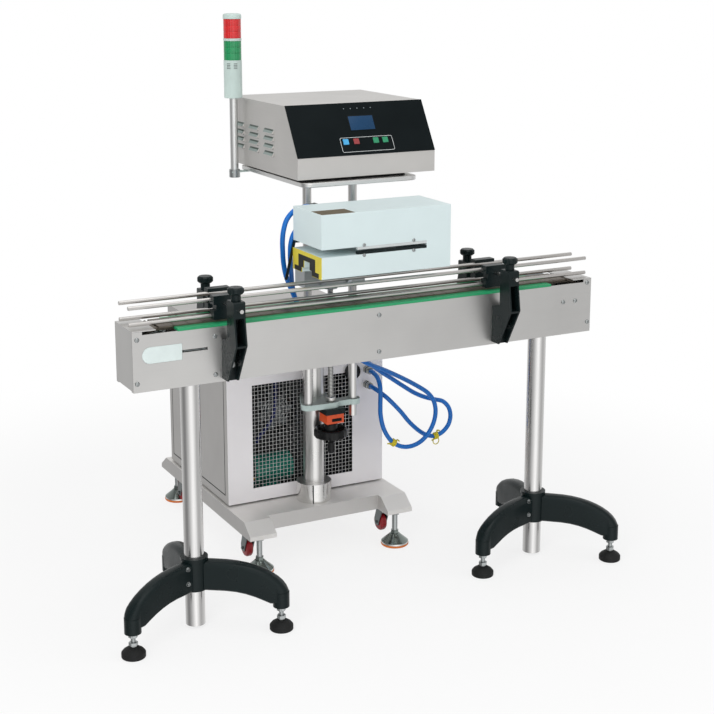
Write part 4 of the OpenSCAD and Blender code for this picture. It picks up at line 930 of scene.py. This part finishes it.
# the pipe and the brass valve that show through the grille
def makeInnerPipes():
    path = smoothPath([at(*p) for p in innerPipes["cold"]], 6)
    pipe = tubeMesh("innerPipe", path, innerPipes["diameter"] / 2, 14)
    newPiece("innerPipe", pipe, "frame", innerHoseBlue)
    rings = [(along * mm, radius * mm) for along, radius in innerPipes["valveRings"]]
    valve = moved(placed(turnedMesh("innerValve", rings, 20), layX), at(*innerPipes["valve"]))
    newPiece("innerValve", valve, "frame", brassFitting)
    low, high = (Vector(corner) * mm for corner in innerPipes["grip"])
    grip = moved(boxMesh("innerValveGrip", low, high, innerPipes["gripEase"]), at(*innerPipes["gripPlace"]))
    newPiece("innerValveGrip", grip, "frame", tieYellow)


makeInnerPipes()
print("inner pipes made")

fanGuard = {"place": (610, 372), "rings": (9, 17, 25, 33, 41), "wire": 1.1 * mm, "spokes": 6, "steps": 40,
            "gap": 1.2 * mm, "spokeBehind": 1.6 * mm}


# wire guard in front of the fan
def makeFanGuard():
    x, z = fanGuard["place"]
    centre = at(x, 0, z)
    centre.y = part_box("radiator")[0].y - fanGuard["gap"]

    def spoke(angle, reach):
        return Vector((math.cos(angle), 0, math.sin(angle))) * reach * mm
    parts = []
    for ring in fanGuard["rings"]:
        turns = [2 * math.pi * k / fanGuard["steps"] for k in range(fanGuard["steps"] + 1)]
        parts.append(tubeMesh("guardRing", [centre + spoke(turn, ring) for turn in turns], fanGuard["wire"]))
    seat = centre + Vector((0, fanGuard["spokeBehind"], 0))
    for k in range(fanGuard["spokes"]):
        out = spoke(math.pi * (k + 0.5) / fanGuard["spokes"], fanGuard["rings"][-1])
        parts.append(tubeMesh("guardSpoke", [seat - out, seat, seat + out], fanGuard["wire"]))
    newPiece("fanGuard", joinMeshes("fanGuard", parts), "frame", zincSteel)


makeFanGuard()
print("fan guard made")


# Lift

thread = {"radius": 8 * mm, "pitch": 4 * mm, "depth": 1.5 * mm, "steps": 24, "start": 468 * mm,
          "plainEnd": 3 * mm, "endChamfer": 0.9 * mm, "rootShadeWithin": 7.2 * mm,
          "collar": [(456.5, 13), (457.3, 14), (467.2, 14), (468, 13)],
          # share of the pitch, and crest or root
          "shape": [(0.0, 1), (0.22, 1), (0.38, 0), (0.62, 0), (0.78, 1)]}
handwheel = {"lobes": 16, "lobe": 1.1 * mm, "bore": 8.2, "base": 352, "height": 25, "web": 13, "hub": 16,
             "gripTurn": 245, "gripInset": 10}
column = {"place": (659, 390), "collar": 50 * mm, "collarHeight": 56 * mm, "collarSkin": 6 * mm,
          "splitTurn": -117.5, "split": (0.5 * mm, 1.6 * mm), "splitInset": 1 * mm}
indicator = {"top": 16.5 * mm, "window": ((19, 2.2, 6), (49, 3.6, 15))}


# trapezoidal thread on the screw between its collar and its end
def threadMesh():
    low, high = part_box("lead_screw")
    radius, root = thread["radius"], thread["radius"] - thread["depth"]
    start, end = thread["start"], high.z - thread["plainEnd"]
    made = bmesh.new()
    columns = []
    for k in range(thread["steps"] + 1):
        angle = 2 * math.pi * k / thread["steps"]
        line = []
        for turn in range(int((end - start) / thread["pitch"]) + 1):
            for share, crest in thread["shape"]:
                z = start + (turn + share + k / thread["steps"] - 1) * thread["pitch"]
                reach = radius if crest else root
                place = (reach * math.cos(angle), reach * math.sin(angle), min(max(z, start), end))
                line.append(made.verts.new(place))
        columns.append(line)
    for near, far in zip(columns, columns[1:]):
        for k in range(len(near) - 1):
            made.faces.new((near[k], far[k], far[k + 1], near[k + 1]))
    bmesh.ops.remove_doubles(made, verts=made.verts, dist=1e-6)
    parts = [closeMesh("screwTurns", made, 30)]
    shank = [(low.z, radius - 1 * mm), (low.z + 1 * mm, radius), (start, radius)]
    core = [(start, root), (end, root), (high.z, root - thread["endChamfer"])]
    collar = [(z * mm, reach * mm) for z, reach in thread["collar"]]
    parts += [turnedMesh("screwPart", rings) for rings in (shank, core, collar)]
    return moved(joinMeshes("screwThread", parts), ((low.x + high.x) / 2, (low.y + high.y) / 2, 0))


# the handwheel with its lobed rim and its grip
def wheelMesh(middle):
    low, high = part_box("handwheel")
    r = (high.x - low.x) / 2 / mm
    bore, base, web, hub = (handwheel[key] for key in ("bore", "base", "web", "hub"))
    top, hubTop = base + handwheel["height"], high.z / mm
    # radius, height and how deep the lobes are there
    profile = [(bore, base, 0), (hub + 4, base, 0), (hub + 6, base + 4, 0), (r - 13, base + 4, 0),
               (r - 8, base, 0.4), (r - 3, base + 0.6, 0.8), (r - 0.6, base + 3, 1), (r, base + 6, 1),
               (r, top - 7, 1), (r - 0.8, top - 3.5, 1), (r - 3, top - 1, 0.8), (r - 7, top, 0.4),
               (r - 11, top - 2, 0), (r - 14, base + web, 0), (hub + 4, base + web - 1, 0),
               (hub + 1, hubTop - 1, 0), (hub, hubTop, 0), (bore, hubTop, 0)]

    def lobed(reach, share):
        dip = handwheel["lobe"] * share / 2
        return lambda angle: reach * mm - dip * (1 - math.cos(handwheel["lobes"] * angle))
    rings = [(z * mm, lobed(reach, share)) for reach, z, share in profile]
    rim = turnedMesh("wheelRim", rings, handwheel["lobes"] * 8, 40, True)
    foot = low.z / mm
    grip = [(foot, 8), (foot + 1, 9.6), (foot + 4, 11), (foot + 14, 11), (base - 4, 8), (base - 2, 5),
            (base + 4, 5)]
    turn = math.radians(handwheel["gripTurn"])
    seat = Vector((math.cos(turn), math.sin(turn), 0)) * (r - handwheel["gripInset"]) * mm
    knob = moved(turnedMesh("wheelGrip", [(z * mm, reach * mm) for z, reach in grip]), seat)
    return moved(joinMeshes("handwheelLobed", [rim, knob]), (middle.x, middle.y, 0))


def makeLift():
    posts = easeNode("lift_posts", 0.8, columnSteel)
    # the collar round the column's foot is polished and split at the front, with a thin dark box of painted
    # shade in the split
    foot = at(*column["place"], 0)
    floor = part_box("base_frame")[1].z
    reach, height, inset = column["collar"], column["collarHeight"], column["splitInset"]
    refinish(posts, collarSteel, lambda c, n: c.z < floor + height + inset
             and fromAxis(c, foot) > reach - column["collarSkin"])
    wide, deep = column["split"]
    top = Vector((wide, deep, height - 2 * inset))
    split = boxMesh("collarSplit", Vector((-wide, -deep, 0)), top, 0.2 * mm)
    turn = math.radians(column["splitTurn"])
    seat = foot + Vector((reach * math.cos(turn), reach * math.sin(turn), floor + inset))
    moved(placed(split, Matrix.Rotation(turn, 4, "Z")), seat)
    newPiece("collarSplit", split, "frame", slotShade)
    plate = easeNode("clamp_plate", 1.2, plateAlloy)
    refinish(plate, plateTop, lambda c, n: n.z > 0.9)
    screw = newPiece("screwThread", threadMesh(), "screw", screwSteel)
    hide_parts("lead_screw")
    low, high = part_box("lead_screw")
    middle = (low + high) / 2
    # painted shade: the thread's roots take the darker zinc
    refinish(screw, darkZinc, lambda c, n: c.z > thread["start"]
             and fromAxis(c, middle) < thread["rootShadeWithin"])
    wheel = newPiece("handwheelLobed", wheelMesh(middle), "screw", blackGloss)
    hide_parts("handwheel")
    case = easeNode("indicator", 1.4, indicatorOrange)
    low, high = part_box("indicator")
    refinish(case, blackNylon, lambda c, n: c.z > high.z - indicator["top"])
    corners = [low + Vector(corner) * mm for corner in indicator["window"]]
    window = boxMesh("indicatorWindow", *corners, 0.5 * mm)
    newPiece("indicatorWindow", window, "frame", facePanel)
    easeNode("lift_carriage", 1.5, carriageAlloy)


makeLift()
print("lift dressed")


# Sealing head

head = {
    "left": 485, "front": -20, "rear": 144, "screw": 9 * mm, "screwHeight": 2.4 * mm, "slotMiddle": 944.5,
    "slotScrews": (605, 747), "slotScrewsZ": (958, 932), "rearScrews": (620, 800), "rearScrewsZ": (1030, 895),
    # stepped border round the tunnel's mouth, from the front: place across the lane and height
    "borderOuter": [(-7, 881), (-7, 893), (13, 893), (13, 925), (110, 925), (110, 893), (133, 893),
                    (133, 881)],
    "borderInner": [(32, 881), (32, 893.5), (44.5, 893.5), (44.5, 912.5), (79.5, 912.5), (79.5, 893.5),
                    (92, 893.5), (92, 881)],
    "borderProud": 0.3, "borderThick": 0.25 * mm,
}


def borderMesh():
    made = bmesh.new()
    x = head["left"] - head["borderProud"]
    rim, lip = ([made.verts.new(at(x, y, z)) for y, z in head[key]] for key in ("borderOuter", "borderInner"))
    for k in range(len(rim) - 1):
        made.faces.new((rim[k], rim[k + 1], lip[k + 1], lip[k]))
    return thicken("entryBorder", made, Vector((head["borderThick"], 0, 0)))


def makeHead():
    easeNode("head_housing", 1.4, headShell, 35, 3)
    easeNode("entry_plate", 0.4, entryYellow)
    easeNode("top_plate", 0.3, bronzePlate)
    trim = easeNode("head_trim", 0.6, blackNylon)
    middle = at(0, 0, head["slotMiddle"])
    refinish(trim, lightStrip, lambda c, n: c.y < middle.y and c.z > middle.z)
    easeNode("head_fittings", 0.6, darkZinc)
    newPiece("entryBorder", borderMesh(), "head", labelBlack)
    screw = socketScrew("slotScrewHead", head["screw"], head["screwHeight"])
    front = [at(x, head["front"], z) for x in head["slotScrews"] for z in head["slotScrewsZ"]]
    repeatItem("slotScrews", front, screw, toFront, zincSteel, "head")
    rear = [at(x, head["rear"], z) for x in head["rearScrews"] for z in head["rearScrewsZ"]]
    repeatItem("headRearScrews", rear, screw, toRear, zincSteel, "head")


makeHead()
print("head dressed")


# Control box

# places on the sloped face are counted to the right and down the slope, from its upper left corner
panel = {
    "left": 526, "front": 198, "level": 1152, "run": 77.5, "rise": 129, "proud": 2, "underside": 5.8 * mm,
    "display": (173, 245, 40, 80),
    # margin round the display, heights of the back and the front, and the eased edge
    "plates": {"displayRim": (3, 0, 0.6, 0.25), "displayGlass": (0, 0.3, 0.9, 0.2)},
    "lights": (167, 187, 207, 227, 247), "lightsV": 17, "lightRings": [(0, 1.6), (0.3, 1.5), (0.7, 0.9)],
    "frame": (133, 288, 100, 142), "frameLine": 1.1, "frameRound": 5, "frameThick": 0.2 * mm,
    "cornerSteps": 8,
}
louvres = {"y": 374, "z": 1151, "stepY": 98, "stepZ": 20, "columns": 3, "rows": 4, "out": 6 * mm,
           "proud": 1.3 * mm, "tilt": math.atan2(6, 10), "shadowLine": (0.35, 27, 2.3), "depth": 7 * mm,
           "fieldY": (340, 600), "fieldZ": (1120, 1220)}
keys = {"key_blue": (keyBlue, "key_blue"), "key_red": (keyRed, "key_red"),
        "key_green_left": (keyGreen, "key_green"), "key_green_right": (keyGreen, "key_green")}
slopeLength = math.hypot(panel["run"], panel["rise"])
slopeTilt = math.atan2(panel["rise"], panel["run"])
# from the sloped face's own frame (right, up the slope, out) to the part's
onSlope = (Matrix.Translation(at(panel["left"], panel["front"], panel["level"]))
           @ Matrix.Rotation(slopeTilt, 4, "X"))


def slopePoint(u, v, out):
    return Vector((u * mm, (slopeLength - v) * mm, (panel["proud"] + out) * mm))


# thin printed line round the keys
def keyFrameMesh():
    u0, u1, v0, v1 = panel["frame"]
    radius, steps = panel["frameRound"], panel["cornerSteps"]
    corners = ((u1 - radius, v0 + radius, 270), (u1 - radius, v1 - radius, 0),
               (u0 + radius, v1 - radius, 90), (u0 + radius, v0 + radius, 180))
    made = bmesh.new()
    loops = []
    for r in (radius, radius - panel["frameLine"]):
        loop = []
        for u, v, start in corners:
            for k in range(steps + 1):
                a = math.radians(start + 90 * k / steps)
                loop.append(made.verts.new(slopePoint(u + r * math.cos(a), v + r * math.sin(a), 0)))
        loops.append(loop)
    skinLoops(made, loops)
    return placed(thicken("keyFrame", made, Vector((0, 0, panel["frameThick"]))), onSlope)


def displayPlate(name, finish):
    u0, u1, v0, v1 = panel["display"]
    margin, back, front, ease = panel["plates"][name]
    low = slopePoint(u0 - margin, v1 + margin, back)
    high = slopePoint(u1 + margin, v0 - margin, front)
    newPiece(name, placed(boxMesh(name, low, high, ease * mm), onSlope), "frame", finish)


# pressed louvres on both sides: the hoods in a darker steel of painted shade, the faces under them painted
# dark as the shade of the slots, and a thin dark strip along each top as a painted shadow line
def dressLouvres(box):
    low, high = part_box("control_box")
    yLow, yHigh = (at(0, y, 0).y for y in louvres["fieldY"])
    zLow, zHigh = (z * mm for z in louvres["fieldZ"])

    def inField(c):
        side = min(c.x - low.x, high.x - c.x) < louvres["depth"]
        return side and yLow < c.y < yHigh and zLow < c.z < zHigh
    refinish(box, louvreShadedSteel, lambda c, n: inField(c) and 0.25 < n.z < 0.9)
    refinish(box, slotShade, lambda c, n: inField(c) and n.z < -0.5)
    corner = Vector(louvres["shadowLine"]) * mm
    shadowLine = boxMesh("shadowLineForm", -corner, corner, 0.2 * mm)
    inset = louvres["out"] - louvres["proud"]
    for side, x, lean in (("Left", low.x + inset, 1), ("Right", high.x - inset, -1)):
        spots = []
        for i in range(louvres["columns"]):
            for j in range(louvres["rows"]):
                spot = at(0, louvres["y"] + i * louvres["stepY"], louvres["z"] + j * louvres["stepZ"])
                spots.append((x, spot.y, spot.z))
        turn = (0, lean * louvres["tilt"], 0)
        repeatItem("louvreCreases" + side, spots, shadowLine, turn, louvreShade, "frame")


def makeControlBox():
    easeNode("shelf", 2.5, shelfSteel, 35, 3)
    box = easeNode("control_box", 1.0, boxSteel)
    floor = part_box("control_box")[0].z
    # painted shade: the control box's underside near black
    refinish(box, shadeBlack, lambda c, n: c.z < floor + panel["underside"])
    dressLouvres(box)
    easeNode("face_panel", 0.4, facePanel)
    for node, (finish, slot) in keys.items():
        easeNode(node, 0.7, finish)
    displayPlate("displayRim", facePanel)
    displayPlate("displayGlass", displayBlue)
    light = turnedMesh("lightForm", [(z * mm, reach * mm) for z, reach in panel["lightRings"]], 16)
    spots = [onSlope @ slopePoint(u, panel["lightsV"], 0) for u in panel["lights"]]
    repeatItem("statusLights", spots, light, (slopeTilt, 0, 0), lampGrey, "frame")
    newPiece("keyFrame", keyFrameMesh(), "frame", printWhite)


makeControlBox()
print("control box dressed")


# Signal tower

tower = {"place": (503, 560, 0), "poleFrom": 1084 * mm, "poleTo": 1280.5 * mm, "nutReach": 15.5 * mm,
         "cap": 25.3, "lens": 52 * mm, "ribs": 24, "ribDepth": 0.9 * mm, "bands": 3, "bandHalf": 0.6 * mm,
         "bandDepth": 0.5 * mm, "lensEase": 1.5 * mm, "vents": {"Left": -139.5, "Right": -95.5},
         "ventRows": 4, "ventTop": 9, "ventStep": 4.2, "vent": (0.4, 5, 0.8), "ventProud": 1 * mm}


# lens with upright ribs and a few rings round it
def ribbedLens(name, z0, z1, radius):
    def ribbed(base):
        return lambda angle: base - tower["ribDepth"] * (0.5 + 0.5 * math.cos(tower["ribs"] * angle))
    ease, half = tower["lensEase"], tower["bandHalf"]
    full, end = ribbed(radius), ribbed(radius * 0.97)
    rings = [(z0, end), (z0 + ease, full)]
    for k in range(1, tower["bands"]):
        z = z0 + ease + k * (z1 - z0 - 2 * ease) / tower["bands"]
        rings += [(z - half, full), (z, ribbed(radius - tower["bandDepth"])), (z + half, full)]
    rings += [(z1 - ease, full), (z1, end)]
    return moved(turnedMesh(name, rings, tower["ribs"] * 4, 60), at(*tower["place"]))


def makeTower():
    axis = at(*tower["place"])
    piece = easeNode("signal_tower", 0.8, towerGrey)
    refinish(piece, poleSteel, lambda c, n: tower["poleFrom"] < c.z < tower["poleTo"])
    refinish(piece, zincSteel, lambda c, n: c.z < tower["poleFrom"]
             and fromAxis(c, axis) < tower["nutReach"])
    low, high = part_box("tower_lenses")
    radius = (high.x - low.x) / 2
    # upright cap round the tapered one
    foot, top, r = high.z / mm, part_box("signal_tower")[1].z / mm, tower["cap"]
    profile = [(foot, r - 1.3), (foot + 0.6, r), (top - 5, r), (top - 2, r - 1.3), (top, r - 3.8),
               (top + 0.5, r - 7.3)]
    cap = turnedMesh("towerCap", [(z * mm, reach * mm) for z, reach in profile], 48, 40)
    newPiece("towerCap", moved(cap, axis), "frame", towerGrey)
    # two small groups of vent slots on the body, under the lenses, as thin dark marks of painted shade
    corner = Vector(tower["vent"]) * mm
    slot = boxMesh("ventShadeForm", -corner, corner, 0.2 * mm)
    for side, turn in tower["vents"].items():
        angle = math.radians(turn)
        seat = axis + Vector((math.cos(angle), math.sin(angle), 0)) * (radius + tower["ventProud"])
        levels = [low.z - (tower["ventTop"] + tower["ventStep"] * k) * mm for k in range(tower["ventRows"])]
        spots = [(seat.x, seat.y, z) for z in levels]
        repeatItem("ventSlots" + side, spots, slot, (0, 0, angle), darkZinc)
    green = ribbedLens("lensGreenPiece", low.z, low.z + tower["lens"], radius)
    green = newPiece("lensGreenPiece", green, "frame", lensGreen)
    red = ribbedLens("lensRedPiece", high.z - tower["lens"], high.z, radius)
    newPiece("lensRedPiece", red, "frame", lensRed)
    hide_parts("tower_lenses")


makeTower()
print("signal tower dressed")


# Floor and light

studio = {
    "floor": 14.0, "floorLevel": -0.0005, "floorColour": (0.93, 0.93, 0.93, 1),
    "fadeFrom": 0.8, "fadeTo": 2.0, "whiteNear": 0.78, "world": 0.52, "room": 1.3, "aim": (0, 0, 0.7),
    # once round the room: share of the turn and how bright the wall is there
    "walls": [(0.0, 0.2), (0.1, 0.5), (0.2, 0.95), (0.25, 0.9), (0.35, 0.45), (0.4, 0.4), (0.55, 0.6),
              (0.7, 0.6), (0.85, 0.45), (0.95, 0.2), (1.0, 0.2)],
    # place, size, power and whether polished steel shows it
    "lamps": {"topLamp": ((-0.3, -0.5, 3.6), (3.0, 3.0), 28, True),
              "keyLamp": ((-2.9, -2.8, 2.3), (2.2, 2.2), 64, False),
              "fillLamp": ((3.0, -2.4, 2.0), (1.6, 2.6), 16, False)},
}
white = (1, 1, 1, 1)


def mixShaders(tree, share, first, second):
    return addNode(tree, "ShaderNodeMixShader", {"Fac": share, 1: first, 2: second}).outputs["Shader"]


# pale floor that runs out into white away from the object, and keeps the shadow under it
def makeFloor():
    made = bmesh.new()
    half = studio["floor"] / 2
    corners = ((-half, -half), (half, -half), (half, half), (-half, half))
    made.faces.new([made.verts.new((x, y, studio["floorLevel"])) for x, y in corners])
    mesh = closeMesh("studioFloor", made, turnOut=False)
    finish = Finish("studioFloor", studio["floorColour"], 0.85)
    finish.put({"Specular IOR Level": 0.2})
    finish.varyColour(finish.noise((1.5, 1.5, 1.5), 2.0), 0.99, 1.01)
    tree = finish.tree
    coords = addNode(tree, "ShaderNodeTexCoord")
    reach = addNode(tree, "ShaderNodeVectorMath", {0: coords.outputs["Object"]}, operation="LENGTH")
    fade = addNode(tree, "ShaderNodeMapRange", {
        "Value": reach.outputs["Value"], "From Min": studio["fadeFrom"], "From Max": studio["fadeTo"]},
        interpolation_type="SMOOTHSTEP")
    near = addNode(tree, "ShaderNodeMapRange", {
        "Value": fade.outputs["Result"], "To Min": studio["whiteNear"]})
    path = addNode(tree, "ShaderNodeLightPath").outputs
    share = addNode(tree, "ShaderNodeMath", {0: near.outputs["Result"], 1: path["Is Camera Ray"]},
                    operation="MULTIPLY")
    glow = addNode(tree, "ShaderNodeEmission", {"Color": white})
    seen = mixShaders(tree, share.outputs["Value"], finish.shader.outputs["BSDF"], glow.outputs["Emission"])
    # polished steel looks through the floor to the room's walls
    clear = addNode(tree, "ShaderNodeBsdfTransparent")
    mirrored = mixShaders(tree, path["Is Glossy Ray"], seen, clear.outputs["BSDF"])
    tree.links.new(mirrored, tree.nodes["Material Output"].inputs["Surface"])
    mesh.materials.append(finish.mat)
    newObject("studioFloor", mesh)


# white to the eye, and to polished steel a room with bright and dull walls
def makeWorld():
    world = bpy.data.worlds.new("studioWorld")
    bpy.context.scene.world = world
    world.use_nodes = True
    tree = world.node_tree
    tree.nodes.clear()

    def background(colour, strength):
        made = addNode(tree, "ShaderNodeBackground", {"Color": colour, "Strength": strength})
        return made.outputs["Background"]
    coords = addNode(tree, "ShaderNodeTexCoord")
    split = addNode(tree, "ShaderNodeSeparateXYZ", {"Vector": coords.outputs["Generated"]})
    turn = addNode(tree, "ShaderNodeMath", {0: split.outputs["Y"], 1: split.outputs["X"]},
                   operation="ARCTAN2")
    share = addNode(tree, "ShaderNodeMapRange", {
        "Value": turn.outputs["Value"], "From Min": -math.pi, "From Max": math.pi})
    ramp = addNode(tree, "ShaderNodeValToRGB", {"Fac": share.outputs["Result"]})
    elements = ramp.color_ramp.elements
    while len(elements) < len(studio["walls"]):
        elements.new(0.5)
    for element, (place, value) in zip(elements, studio["walls"]):
        element.position = place
        element.color = (value, value, value, 1)
    path = addNode(tree, "ShaderNodeLightPath").outputs
    shiny = mixShaders(tree, path["Is Glossy Ray"], background(white, studio["world"]),
                       background(ramp.outputs["Color"], studio["room"]))
    seen = mixShaders(tree, path["Is Camera Ray"], shiny, background(white, 1.0))
    addNode(tree, "ShaderNodeOutputWorld", {"Surface": seen})


def makeLamps():
    for name, (place, size, power, mirrored) in studio["lamps"].items():
        data = bpy.data.lights.new(name, "AREA")
        data.shape = "RECTANGLE"
        data.size, data.size_y = size
        data.energy = power
        lamp = newObject(name, data)
        lamp.location = place
        lamp.rotation_euler = (Vector(studio["aim"]) - Vector(place)).to_track_quat("-Z", "Y").to_euler()
        lamp.visible_glossy = mirrored


makeFloor()
makeWorld()
makeLamps()
bpy.context.scene.view_settings.view_transform = "Standard"
print("studio set")
